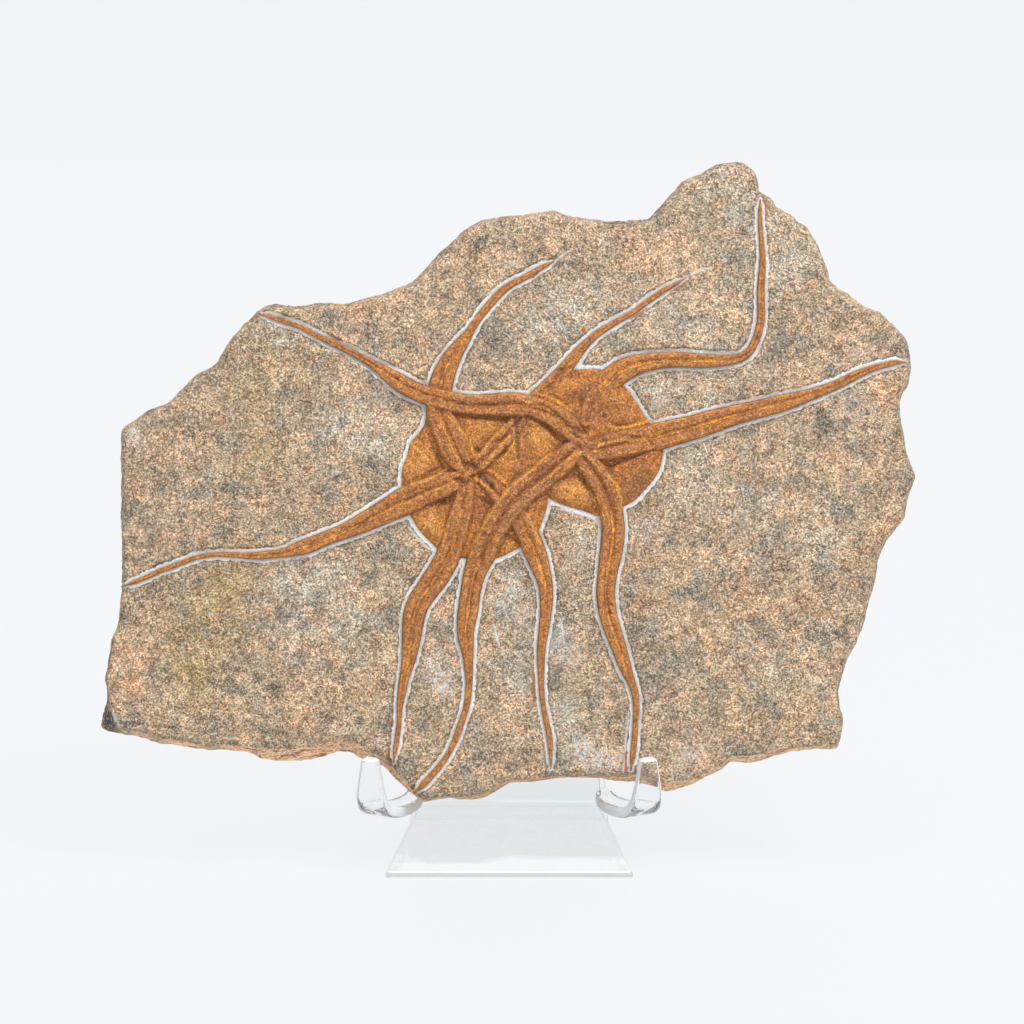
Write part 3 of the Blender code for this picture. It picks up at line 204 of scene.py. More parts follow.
LEFT_DISC: Rows = (
    (-21.3, 26), (-21.6, 23.4), (-21.9, 21.7), (-23.3, 19.9), (-25.2, 18), (-25.9, 16.7),
    (-26.4, 13.5), (-27.4, 11.9), (-27.8, 10.3), (-27.8, 8.4), (-27.7, 6.4), (-27.2, 2.5),
    (-25.4, -1.1), (-24, -3.8), (-22.1, -6.1), (-19.8, -8.3), (-18.4, -9.7), (-15.5, -11.2),
    (-11.5, -11.8), (-8, -12.6), (-4.9, -12.2), (-1.6, -10.9), (0.4, -9.9), (2.5, -8.6), (5, -7),
    (6.9, -4.8), (7.7, -2.5), (8.5, 0), (9.3, 2.3), (8.5, 8), (5.8, 18), (2, 27), (-4, 28.5),
    (-12, 28.5), (-17, 28),
)
# Soft bulges between the arms: across, up, radius, rise.
LOBES: Rows = (
    (-22.8, 12.8, 4, 0.9), (-8, 21.3, 3.2, 0.8), (6.2, 19, 3.8, 0.9), (-20.2, -3.8, 3.8, 0.8),
    (-1, -8.5, 2.2, 0.5), (15.3, 4.6, 3.8, 0.9), (31.5, 8.3, 4.6, 0.6), (13.5, 31, 4, 0.5),
    (27, 27, 5, 0.6), (7.2, 1, 1.6, 0.4), (16.4, 14.4, 1.8, 0.6),
)
# Mouth hollows and the deep corners between arms: across, up, radius, depth.
HOLLOWS: Rows = (
    (-10.3, 11.6, 1.2, 0.9), (-12.6, 7.6, 1, 0.7), (-6.7, 8.8, 1.2, 0.8), (-5.1, 6.3, 0.8, 0.5),
    (-16.8, 2.6, 1.8, 0.7), (-8.9, 15.2, 0.9, 0.5), (-1.2, -5.8, 0.8, 0.5), (16.7, 20.2, 1.2, 0.6),
    (17.8, 15.9, 0.9, 0.5), (24.4, 11.4, 1, 0.6), (22.4, 18.6, 1.2, 0.4), (11.3, 18.9, 1.1, 0.4),
)

# Raised ridges on the discs, painted with a golden highlight: across, up, half width.
RIDGES: tuple[Rows, ...] = (
    ((-18.2, 25.5, 0.3), (-16.8, 21, 0.4), (-15, 17, 0.4), (-13.2, 12.8, 0.45), (-12.7, 11, 0.3)),
    ((-16, 24, 0.2), (-13, 20.5, 0.35), (-11, 18.5, 0.4), (-10.3, 16, 0.45), (-9.6, 14.3, 0.45),
     (-8.2, 14.2, 0.4), (-7, 15.5, 0.35), (-5, 18.5, 0.3), (-3.4, 20.4, 0.3), (-1.5, 21.8, 0.3),
     (0, 22, 0.2)),
    ((-7.2, 11, 0.25), (-5, 14, 0.35), (-2.5, 17, 0.35), (-0.6, 19, 0.3)),
    ((-3.4, 11.2, 0.2), (-1.5, 14.5, 0.3), (0.4, 17, 0.3), (0.5, 21, 0.25)),
    ((-25, 7, 0.3), (-21, 8, 0.3), (-18.2, 9.5, 0.35), (-16.6, 10.4, 0.3)),
    ((-27, 2, 0.3), (-23.5, 3.8, 0.35), (-20, 5.3, 0.35), (-16, 6.9, 0.4), (-14.6, 7.5, 0.3)),
    ((-12.6, 0.2, 0.35), (-13.5, -3.2, 0.4), (-14.4, -7, 0.35), (-15.2, -10, 0.3)),
    ((-15.1, 0, 0.25), (-16.3, -4, 0.35), (-17.4, -8.5, 0.3)),
    ((0, 6.8, 0.3), (-1.2, 5.2, 0.4), (-3.6, 2.5, 0.35), (-6, -1, 0.45), (-8, -5, 0.45),
     (-9.8, -8.2, 0.4), (-10.8, -11, 0.3)),
    ((0, 6.8, 0.3), (3, 9, 0.3), (5.2, 10.6, 0.3), (7.2, 12.7, 0.35), (9.5, 14.6, 0.3)),
    ((-5.6, 10.3, 0.4), (-3, 8.5, 0.45), (-1.2, 6.6, 0.35)),
    ((-9.2, 8.4, 0.3), (-6.5, 6.5, 0.35), (-4.8, 5, 0.3)),
    ((4, -0.5, 0.3), (4.9, -3, 0.35), (6.2, -6, 0.35), (7.2, -8, 0.3)),
    ((1.9, -1.5, 0.25), (3.2, -4.2, 0.3), (4.6, -7.2, 0.25)),
    ((-25.2, 17, 0.3), (-22.6, 14.6, 0.4), (-20.8, 12.8, 0.2)),
    ((5.8, 29.6, 0.3), (8.5, 28.9, 0.3), (11, 27.7, 0.35), (13.2, 26.2, 0.4), (14.8, 25.3, 0.2)),
    ((1.4, 29.6, 0.25), (3, 27.9, 0.35), (4.4, 27.2, 0.2)),
    ((3, 26.7, 0.3), (5.6, 26.3, 0.3), (8.2, 25.9, 0.35), (10.6, 24.4, 0.35), (13, 22.4, 0.4),
     (15.1, 20.3, 0.3)),
    ((23.9, 21.3, 0.3), (26.5, 20.9, 0.35), (29, 21.2, 0.3), (32, 22, 0.35), (34.5, 22.9, 0.3)),
    ((20.5, 15.2, 0.35), (22, 16.7, 0.4), (25, 17.5, 0.35), (28, 17.9, 0.3), (31, 17.8, 0.35),
     (34, 18.5, 0.4), (37, 19.8, 0.3)),
    ((4.6, 5.5, 0.25), (7, 7.1, 0.35), (10, 9.5, 0.35), (12.5, 12, 0.3), (15, 14, 0.4),
     (16.6, 14.9, 0.4)),
    ((16.6, 14.9, 0.5), (18.8, 14, 0.35), (20.6, 12, 0.35), (22.2, 10, 0.2)),
    ((24, 9.4, 0.2), (26, 6.9, 0.4), (27.1, 4, 0.4), (27.4, 1, 0.25)),
    ((22, 4.2, 0.2), (23.4, 0.8, 0.3), (24.2, -3, 0.3)),
    ((21.8, 30.8, 0.2), (24, 33.5, 0.35), (26, 35.4, 0.3), (28.2, 36.4, 0.25)),
)
# Creases under the arms and round the mouths, sunk a little and painted with shade: across, up,
# half width.
CREASES: tuple[Rows, ...] = (
    ((-20.4, 18.2, 0.15), (-19.5, 15.5, 0.4), (-18.2, 13, 0.45), (-17.2, 10.9, 0.3)),
    ((-24.8, 8, 0.15), (-22, 8.8, 0.3), (-19.6, 10.2, 0.4), (-17.6, 11.6, 0.35)),
    ((-21.5, 1.6, 0.3), (-18.5, 2.5, 0.9), (-16.2, 2.6, 0.9), (-15.4, 3.4, 0.3)),
    ((-15, 24.7, 0.2), (-10, 23.9, 0.6), (-5, 23.4, 0.7), (-1, 23.1, 0.8), (0.9, 23.6, 0.5)),
    ((0.8, 23.4, 0.4), (1.1, 20, 0.5), (1.4, 16.5, 0.6), (1.7, 13, 0.3)),
    ((-12, 12.4, 0.3), (-10.4, 11.8, 0.7), (-9, 10.8, 0.8), (-8.3, 11.6, 0.4)),
    ((-8, 9, 0.6), (-6.8, 8.2, 0.7), (-6.2, 6.9, 0.4)),
    ((-4.8, 9.4, 0.2), (-4.8, 8, 0.4), (-5.2, 6.2, 0.4)),
    ((-13.7, 8, 0.4), (-12.3, 7, 0.7), (-11, 7.9, 0.4)),
    ((-9, 3.9, 0.2), (-7.5, 3.3, 0.5), (-5.8, 2.2, 0.3)),
    ((-9.3, 15.7, 0.3), (-8.2, 15.3, 0.4)),
    ((-4.6, 17.4, 0.2), (-2.8, 18.2, 0.5), (-1.6, 18.8, 0.2)),
    ((-3.8, 13.6, 0.3), (-2.2, 14.9, 0.6), (-1, 16.6, 0.2)),
    ((-2.2, -5.2, 0.2), (-1.2, -6, 0.6), (0.8, -6.8, 0.4), (2.8, -8, 0.2)),
    ((-7.8, -5, 0.3), (-7, -5.6, 0.5)),
    ((9.4, 29.4, 0.15), (11.5, 28.4, 0.3), (13.6, 26.8, 0.25)),
    ((7.6, 27, 0.15), (10, 25.3, 0.35), (12, 23.5, 0.4), (14, 21.5, 0.35), (15.5, 20.4, 0.2)),
    ((3.2, 24.2, 0.4), (6, 23, 0.6), (8, 21.8, 0.6), (9.6, 20.5, 0.7), (10.9, 19, 0.7),
     (11.9, 17.8, 0.3)),
    ((14.8, 20.9, 0.3), (16.6, 20.7, 0.7), (18, 19.8, 0.4)),
    ((16.4, 17.2, 0.3), (17.3, 15.6, 0.45)),
    ((21.8, 18.1, 0.4), (23.2, 17.7, 0.5)),
    ((24, 22.4, 0.15), (26, 21.7, 0.3), (28, 21.8, 0.25), (30.4, 22.4, 0.15)),
    ((24.6, 11.6, 0.6), (26.4, 12.4, 0.65), (30, 13.8, 0.45), (33, 14.8, 0.4), (35.6, 15.7, 0.2)),
    ((10.8, 7.4, 0.2), (13.5, 8.6, 0.5), (16.2, 9.2, 0.7), (17.8, 8, 0.6), (18.9, 6, 0.45),
     (19.7, 3.8, 0.2)),
    ((17.1, 30, 0.2), (17.3, 28, 0.5), (17, 26.4, 0.25)),
    ((28.9, 27.8, 0.2), (28.9, 27.1, 0.25)),
    ((22.4, 24.9, 0.4), (22.8, 23.9, 0.4)),
    ((5, 2.8, 0.2), (7.4, 3.2, 0.5), (9.4, 3, 0.3)),
    ((34.2, 18.2, 0.4), (34.8, 16.8, 0.4)),
    ((27.4, 19.3, 0.15), (30.5, 18.7, 0.3), (33, 18.7, 0.2)),
    ((10.6, 35.6, 0.3), (12.8, 35.6, 0.4), (15, 36.2, 0.2)),
)
# Golden swellings and dull violet patches of the discs: across, up, radius, strength.
GOLDEN: Rows = (
    (14, 5.4, 2.4, 1), (17, 4, 2.4, 0.9), (12.4, 4.6, 1.6, 0.7), (5.6, 19, 3.4, 0.7),
    (8, 15.6, 2.4, 0.5), (-21, -2.6, 2.6, 1), (-18, -6.5, 2, 0.7), (-23, 13.5, 3.4, 0.5),
    (-24, 9.8, 2.4, 0.5), (-12, 22.2, 2, 0.5), (-6.5, 21.5, 2.6, 0.5), (-9, 18.5, 2, 0.4),
    (0, 12.5, 1.4, 0.4), (-1, -9.2, 1.6, 0.5), (2.2, -2.6, 1.6, 0.4), (31, 14, 2, 0.3),
    (10.5, 31.5, 3, 0.2), (20.4, 11, 2, 0.3),
)
DULL: Rows = (
    (27, 26, 3.4, 0.5), (22, 24, 3, 0.4), (16.5, 24.5, 2.6, 0.5), (2.2, 18.5, 1.7, 1),
    (2, 14, 1.6, 0.9), (2.4, 10.5, 1.6, 0.7), (2.6, 22.6, 1.5, 0.8), (18.2, 30.2, 2.2, 0.8),
    (19, 17, 1.8, 0.7), (-6.8, 8, 1.5, 0.9), (-12.5, 27, 2.6, 0.5), (-4, 26, 2.6, 0.4),
    (5.5, 28.2, 2, 0.5), (8, 6, 2.6, 0.6), (1.5, 2, 3.4, 0.6), (-8, 0.5, 3.4, 0.5),
    (-1, -4, 2.4, 0.6), (32, 8, 3.8, 0.6), (12, 17.5, 2.6, 0.5), (30, 5, 3, 0.6),
    (25.5, 14.5, 2.6, 0.4), (-20, 4, 3, 0.4), (-27, 28.5, 3, 0.5),
)

# Stand, seen from its side: depth, height, half width, bend radius.
STAND_LINE: Rows = (
    (-16.31, 1.19, 31, 0), (0.97, 14.47, 23.2, 4), (14.9, 80, 19.5, 4.4), (23.9, 80, 19.5, 4.4),
    (31.4, 0, 25.9, 0),
)
# Hook axis: across from the middle, depth, height, half width, turn of the strip.
HOOK_LINE: Rows = (
    (23.9, 2, 17.2, 2, 30), (24.2, -0.8, 16.3, 2.5, 33), (25.8, -4.6, 15.95, 3.3, 36),
    (29.2, -8.8, 15.95, 4, 34), (31.9, -11.6, 16.4, 4.1, 30), (33.5, -13.6, 17.6, 4.1, 26),
    (34.2, -15, 19.4, 4, 22), (34.5, -15.8, 21.6, 3.7, 20), (34.6, -16.2, 25.6, 3, 20),
    (34.6, -16.5, 31, 2.1, 20),
)

# Stains of the face by mark: across, up, radius, strength.
PATCHES: dict[str, Rows] = {
    "chalk": (
        (-94.8, 18.8, 1.6, 1), (-93, 16.5, 1.2, 0.7), (-91.5, 26.5, 2, 0.7),
        (-0.5, -20.8, 2.4, 0.6), (-2.5, -22.6, 1.6, 0.6), (-18, -41.5, 3, 0.9),
        (-16.8, -43.5, 2, 0.8), (13, -35, 3.4, 0.8), (11.5, -31, 2.2, 0.6), (16.8, -58.8, 3, 0.9),
        (20.5, -61, 3, 0.8), (24.2, -62, 3, 0.8), (13.5, -49, 3.5, 0.35), (2.5, -27, 2.6, 0.4),
        (26, -8, 2.4, 0.3), (16, -12, 2.6, 0.3), (38, 46, 3, 0.25), (45, -60.5, 4, 0.6),
        (88, 40, 3, 0.4), (-44, 10, 2, 0.25), (0, 62.5, 2, 0.35),
    ),
    "olive": (
        (-60, 38, 5, 0.9), (-66, 30, 5, 0.7), (-62, 16.5, 5, 0.9), (-70, 10, 4, 0.5),
        (-71, -17, 6, 1), (-76, -24, 7, 1), (-68, -31, 5, 0.7), (-82, -33, 6, 0.8),
        (-80, -42, 7, 0.9), (-72, -51, 6, 0.6), (-66, -9, 5, 0.5), (15, 59, 3.5, 0.6),
        (52, 78, 7, 0.5), (-54, 30, 5, 0.5), (16, -45, 5, 0.6), (52, -50, 8, 0.3),
        (30, 40, 4, 0.4), (-20, 48, 4, 0.3),
    ),
    "pale": (
        (-55, -18, 6, 0.8), (-45, -15, 6, 0.8), (-40, -28, 5, 0.7), (-55, -31, 5, 0.6),
        (15, 52, 7, 1), (25, 46, 5, 0.6), (6, 46, 5, 0.6), (46, 46, 5, 0.6), (36, 30, 6, 0.8),
        (50, 29, 5, 0.7), (46, 14.5, 4, 0.9), (60, 72, 7, 0.8), (52, 82, 6, 0.8),
        (70, 62, 5, 0.7), (0, -20, 5, 0.9), (13, -30, 4, 0.7), (2, -42, 5, 0.7),
        (14, -52, 5, 0.6), (-19, -38, 4, 0.7), (-58, 43, 4, 0.9), (-36, 20, 6, 0.9),
        (-46, 20, 5, 0.6), (33, -6, 4, 0.7), (60, 2, 6, 0.6), (76, -8, 6, 0.6), (84, 28, 5, 0.5),
        (20, -8, 4, 0.7), (38, 50, 4, 0.5), (66, -40, 5, 0.4), (-96, 20, 4, 0.6), (47, 6, 5, 0.5),
    ),
    "warm": (
        (-94, -36, 4, 0.8), (-94.5, -46, 4, 1), (-95, 5, 5, 0.7), (-92, -12, 5, 0.8),
        (-96, -40, 5, 1), (-91, -28, 5, 0.6), (-81, 20, 5, 0.7), (-88, 14, 5, 0.6),
        (-40, 52, 5, 0.7), (-27, 54, 5, 0.8), (-13, 62, 5, 0.8), (12, 66, 6, 0.8),
        (32, 64, 5, 0.9), (40, 66, 5, 0.6), (86, 47, 5, 0.6), (93, 30, 5, 0.9), (93, 12, 5, 0.8),
        (60, -20, 6, 0.6), (50, -32, 5, 0.7), (72, -24, 5, 0.9), (86, -10, 4, 0.6),
        (46, -60, 5, 0.7), (71, -55, 5, 0.6), (-66, -56, 4, 0.5), (-50, -54, 5, 0.6),
        (-18, -65, 5, 0.6), (-2, -63, 5, 0.6), (-36, -44, 4, 0.7), (80, 12, 4, 0.6),
        (72, 34, 4, 0.8), (-44, -46, 4, 0.5), (60, 46, 4, 0.4), (-12, 56, 3, 0.7),
        (-24, 46, 4, 0.5), (-40, 4, 4, 0.6), (-54, 4, 4, 0.4), (40, -44, 4, 0.6),
        (-30, 38, 3, 0.5),
    ),
    "slate": (
        (-101.5, -54, 3.6, 1), (-103, -50, 2.4, 0.9), (-97, -56.5, 2.6, 0.6), (77, 24, 3.4, 0.9),
        (81, 21, 3, 0.8), (84, 16.5, 3, 0.7), (74, 28.5, 2.5, 0.7), (76, 17, 3, 0.7),
        (90, 0, 3.2, 0.7), (83, -31, 4, 0.8), (31, -28, 3.6, 0.8), (33, -22, 3, 0.7),
        (58, -40, 3.5, 0.5), (74, -53, 3, 0.7), (-73, 4, 3.5, 0.7), (-52, -14, 3, 0.8),
        (-66, -28, 2.6, 0.7), (-37, 45, 3, 0.8), (-28, 29, 3, 0.7), (-33, 12, 3, 0.6),
        (-8, 52, 2.6, 0.9), (-5, 44, 3, 0.7), (27, 71.5, 3.6, 0.9), (5, 63, 4, 0.7),
        (-9, 67, 5, 0.6), (60, 50, 3, 0.7), (62, 44, 2.6, 0.7), (-45, -10, 3, 0.5),
        (-60, -44, 3.4, 0.7), (-47, -52, 3, 0.6), (-30, -62, 3, 0.7), (8, 40, 3, 0.6),
        (38, 35, 3, 0.6), (68, -7, 3, 0.4), (44, -12, 3.4, 0.5), (-88, 8, 3, 0.6),
        (-90, -57, 3, 0.7), (-75, -58.5, 3, 0.5), (40, -52, 3, 0.4),
    ),
}

# White scratches left by the tool: across, up, half width.
SCRATCHES: tuple[Rows, ...] = (
    ((-4.6, -28.2, 0.2), (-3.6, -32, 0.3), (-3.3, -33.4, 0.12)),
    ((12.2, -26.8, 0.15), (12.6, -29.5, 0.22), (13, -33, 0.2)),
    ((29.3, -50.1, 0.15), (28.4, -57, 0.2), (28, -64.8, 0.2)),
    ((-25.9, -3.8, 0.18), (-23.7, -6.4, 0.22), (-21.4, -8.6, 0.22), (-19.2, -10.2, 0.18)),
    ((12.3, 0.8, 0.18), (15.4, -0.15, 0.22), (18.5, -0.9, 0.22), (20.9, -2, 0.22),
     (21.8, -3.5, 0.2)),
    ((43.7, 58.8, 0.2), (46, 59.9, 0.18), (50, 61.3, 0.1)),
    ((10.9, 62.8, 0.25), (13, 64.4, 0.18), (15, 65.8, 0.1)),
    ((-101, -48, 0.15), (-99.8, -50.6, 0.25), (-98.4, -53.2, 0.2)),
    ((16, -55, 0.1), (19.5, -58.5, 0.2), (22, -61, 0.12)),
)

# Thin stained strands beside the arm tips: across, up, half width.
STRANDS: tuple[Rows, ...] = (
    ((63.4, 78, 0.2), (63.5, 73, 0.25)),
    ((63.9, 69.5, 0.2), (63.9, 67, 0.2)),
    ((28.5, -60, 0.25), (28.3, -64.8, 0.25)),
    ((5.2, -39.4, 0.2), (5.5, -44, 0.3), (5.6, -48.7, 0.2)),
    ((-30.5, -59.2, 0.25), (-31, -61.5, 0.4), (-31.5, -63.3, 0.3)),
    ((-29.85, -52.5, 0.3), (-29.85, -52.9, 0.3)),
    ((43.7, 57.5, 0.15), (41.5, 56.2, 0.25), (39.7, 55, 0.2)),
    ((33.85, 50.95, 0.15), (31.5, 49.4, 0.25), (29.8, 48.3, 0.2)),
    ((6.5, 59.7, 0.2), (5, 58.5, 0.25)),
    ((-46, 44.5, 0.2), (-43, 43, 0.3)),
    ((17.9, 45.4, 0.5), (17.9, 45.8, 0.5)),
)
# Dark facets of the lower left corner: across, up, half width.
FACETS: tuple[Rows, ...] = (
    ((-99.7, -31.2, 0.2), (-101.2, -37.2, 0.35), (-101.9, -42, 0.4), (-101.7, -45.7, 0.5),
     (-101.6, -49, 0.9), (-101.3, -51.6, 1.8), (-100.8, -53.6, 1.6)),
    ((-99, -52.6, 0.6), (-95, -52.7, 0.6), (-90, -53.2, 0.5), (-84, -53.9, 0.3),
     (-79, -54.4, 0.1)),
)
# Thin drawn lines, widened to where the face's mesh is finer.
WIDE_MARKS: tuple[Rows, ...] = tuple(
    tuple((across, up, 0.9) for across, up, _ in line) for line in (*SCRATCHES, *STRANDS, *FACETS)
)

def tone(red: float, green: float, blue: float) -> Colour:
    """Turn a display colour from 0 to 255 into a linear one.

    Args:
        red: Red of the display colour.
        green: Green of the display colour.
        blue: Blue of the display colour.

    Returns:
        The linear colour with full alpha.
    """
    linear = []
    for part in (red, green, blue):
        share = part / 255.0
        high = ((share + 0.055) / 1.055) ** 2.4
        linear.append(share / 12.92 if share <= 0.04045 else high)
    return (*linear, 1.0)


def ease(values: Values) -> Values:
    """Ease values between nought and one."""
    share = np.clip(values, 0.0, 1.0)
    return share * share * (3.0 - 2.0 * share)


def link_object(name: str, data: bpy.types.ID) -> bpy.types.Object:
    """Make an object of some data and link it to the scene.

    Args:
        name: Name of the object.
        data: Mesh, light or camera.

    Returns:
        The new object.
    """
    item = bpy.data.objects.new(name, data)
    bpy.context.scene.collection.objects.link(item)
    return item


def read_values(items: object, name: str, width: int = 1, kind: type = np.float64) -> Values:
    """Read one property of many mesh items.

    Args:
        items: Vertices, faces or attribute values.
        name: Property to read.
        width: Numbers in the property.
        kind: Kind of number wanted.

    Returns:
        One value an item, or one row where the property has several numbers.
    """
    values = np.empty(len(items) * width, dtype=kind)
    items.foreach_get(name, values)
    return values.reshape(-1, width) if width > 1 else values


def write_mark(mesh: bpy.types.Mesh, name: str, values: Values) -> None:
    """Store one value a point on a mesh."""
    attribute = mesh.attributes.new(name, "FLOAT", "POINT")
    attribute.data.foreach_set("value", np.ascontiguousarray(values, dtype=np.float32))


def shade_smooth(mesh: bpy.types.Mesh) -> None:
    """Shade every face of a mesh smoothly."""
    mesh.polygons.foreach_set("use_smooth", np.ones(len(mesh.polygons), dtype=bool))


class LatticeNoise:
    """Smooth repeatable noise on a lattice, between minus one and one."""

    SIDE = 32
    OCTAVE_SHIFT = 17.3

    def __init__(self, seed: int) -> None:
        """Fill the lattice from a seed."""
        random = np.random.default_rng(seed)
        self.values = random.uniform(-1.0, 1.0, (self.SIDE, self.SIDE, self.SIDE))

    def sample(self, points: Values, size: float) -> Values:
        """Noise at each point.

        Args:
            points: Points with three columns.
            size: Size of a lattice cell.

        Returns:
            One value a point.
        """
        place = points / size
        cell = np.floor(place).astype(int)
        share = ease(place - cell)
        total = np.zeros(len(points))
        for corner in range(8):
            step = np.array((corner & 1, (corner >> 1) & 1, corner >> 2))
            index = (cell + step) % self.SIDE
            weight = np.prod(np.where(step == 1, share, 1.0 - share), axis=1)
            total += weight * self.values[index[:, 0], index[:, 1], index[:, 2]]
        return total

    def rough(self, points: Values, size: float, octaves: int, keep: float) -> Values:
        """Sum of finer and finer noise.

        Args:
            points: Points with three columns.
            size: Size of the coarsest cell.
            octaves: Number of sizes, each half the one before.
            keep: Strength of each size against the one before.

        Returns:
            One value a point, roughly between minus one and one.
        """
        total = np.zeros(len(points))
        strength = 1.0
        whole = 0.0
        for octave in range(octaves):
            moved = points + self.OCTAVE_SHIFT * octave
            total += strength * self.sample(moved, size / 2.0**octave)
            whole += strength
            strength *= keep
        return total / whole


def flat_points(points: Values, out: float = 0.0) -> Values:
    """Give plane points a third column with one value."""
    return np.column_stack((points, np.full(len(points), out)))


def segment_gaps(points: Values, starts: Values, ends: Values) -> tuple[Values, Values, Values]:
    """Distance to each segment, place along it and side of it.

    Args:
        points: Points with two columns.
        starts: First ends of the segments.
        ends: Last ends of the segments.

    Returns:
        Arrays of distance, place between nought and one, and side.
    """
    run_x, run_y = (ends - starts).T
    length = np.maximum(run_x * run_x + run_y * run_y, 1e-9)
    across = points[:, 0:1] - starts[:, 0]
    up = points[:, 1:2] - starts[:, 1]
    place = np.clip((across * run_x + up * run_y) / length, 0.0, 1.0)
    side = across * run_y - up * run_x
    gap_x = across - place * run_x
    gap_y = up - place * run_y
    return np.sqrt(gap_x * gap_x + gap_y * gap_y), place, side


def near_line(points: Values, line: Values, reach: float) -> Values:
    """Indices of the points that lie within reach of the box round a line."""
    low = line[:, :2].min(axis=0) - reach
    high = line[:, :2].max(axis=0) + reach
    return np.flatnonzero(np.all((points >= low) & (points <= high), axis=1))


def nearest_on_line(points: Values, line: Values) -> tuple[Values, Values, Values]:
    """Distance to a line, side of it, and its further columns at the nearest place.

    Args:
        points: Points with two columns.
        line: Rows whose first two columns are the line.

    Returns:
        One distance, one signed side and one row of further columns a point.
    """
    gaps, places, sides = segment_gaps(points, line[:-1, :2], line[1:, :2])
    nearest = gaps.argmin(axis=1)
    order = np.arange(len(points))
    share = places[order, nearest][:, None]
    there = line[nearest, 2:] * (1.0 - share) + line[nearest + 1, 2:] * share
    return gaps[order, nearest], sides[order, nearest], there


def ring_distance(points: Values, ring: Values) -> Values:
    """Signed distance to a closed ring, negative inside it.

    Args:
        points: Points with two columns.
        ring: Corners of the ring.

    Returns:
        One distance a point.
    """
    result = np.empty(len(points))
    ends = np.roll(ring, -1, axis=0)
    rise = np.where(ends[:, 1] == ring[:, 1], 1e-9, ends[:, 1] - ring[:, 1])
    for first in range(0, len(points), BATCH):
        part = points[first : first + BATCH]
        distance = segment_gaps(part, ring, ends)[0].min(axis=1)
        x, y = part[:, 0:1], part[:, 1:2]
        crosses = (ring[None, :, 1] > y) != (ends[None, :, 1] > y)
        reach = (ends[:, 0] - ring[:, 0])[None] * (y - ring[None, :, 1]) / rise[None]
        inside = (np.logical_and(crosses, x < reach + ring[None, :, 0]).sum(axis=1) % 2) == 1
        result[first : first + BATCH] = np.where(inside, -distance, distance)
    return result


def soften_line(rows: Values, step: float, passes: int, closed: bool = False) -> Values:
    """Space rows evenly along a line and soften their bends.

    Args:
        rows: Rows whose first two columns are the line.
        step: Spacing of the new rows.
        passes: Number of softening passes.
        closed: Whether the line closes on itself.

    Returns:
        The new rows.
    """
    line = np.vstack((rows, rows[:1])) if closed else rows
    length = np.linalg.norm(np.diff(line[:, :2], axis=0), axis=1)
    at = np.concatenate(([0.0], np.cumsum(length)))
    wanted = np.linspace(0.0, at[-1], max(int(at[-1] / step), 2) + 1)
    even = np.stack([np.interp(wanted, at, column) for column in line.T], axis=1)
    if not closed:
        return relax(even, passes)
    even = even[:-1]
    for _ in range(passes):
        around = np.roll(even, 1, axis=0) + np.roll(even, -1, axis=0)
        even = 0.5 * even + 0.25 * around
    return even


def relax(rows: Values, passes: int) -> Values:
    """Soften an open line in place, with its ends held."""
    for _ in range(passes):
        rows[1:-1] = 0.5 * rows[1:-1] + 0.25 * (rows[:-2] + rows[2:])
    return rows


def curve_through(rows: Values, counts: Values, pull: float = 0.35) -> Values:
    """Closed curve through rows, with a set number of steps a span.

    Args:
        rows: Rows the curve passes through.
        counts: Steps in the span after each row.
        pull: Strength with which the neighbours bend the curve.

    Returns:
        The rows of the curve.
    """
    before, after, beyond = (np.roll(rows, shift, axis=0) for shift in (1, -1, -2))
    result = []
    for i, count in enumerate(counts):
        t = np.arange(count)[:, None] / count
        enter = (after[i] - before[i]) * pull
        leave = (beyond[i] - rows[i]) * pull
        a = 2.0 * t**3 - 3.0 * t**2 + 1.0
        b = t**3 - 2.0 * t**2 + t
        c = 3.0 * t**2 - 2.0 * t**3
        d = t**3 - t**2
        result.append(a * rows[i] + b * enter + c * after[i] + d * leave)
    return np.vstack(result)


def bumps(points: Values, table: Rows) -> Values:
    """Sum of soft round bumps.

    Args:
        points: Points with two columns.
        table: Rows of across, up, radius and rise.

    Returns:
        One height a point.
    """
    total = np.zeros(len(points))
    for across, up, radius, rise in table:
        gap = (points[:, 0] - across) ** 2 + (points[:, 1] - up) ** 2
        total += rise * np.exp(-gap / (radius * radius))
    return total


def patch_mask(points: Values, table: Rows) -> Values:
    """Soft round patches, from nought to one."""
    return np.clip(bumps(points, table), 0.0, 1.0)


def line_mask(points: Values, lines: tuple[Rows, ...], fade: float, reach: float = 2.0) -> Values:
    """Strength of thin drawn lines at each point.

    Args:
        points: Points with two columns.
        lines: Lines of across, up and half width.
        fade: Width over which a line's side fades.
        reach: Distance beyond which a line isn't looked at.

    Returns:
        One value a point, one on a line and nought away from it.
    """
    total = np.zeros(len(points))
    for rows in lines:
        table = np.array(rows)
        near = near_line(points, table, reach)
        if len(near) == 0:
            continue
        gap, _, there = nearest_on_line(points[near], table)
        mask = np.clip((there[:, 0] - gap) / fade + 0.5, 0.0, 1.0)
        total[near] = np.maximum(total[near], mask)
    return total


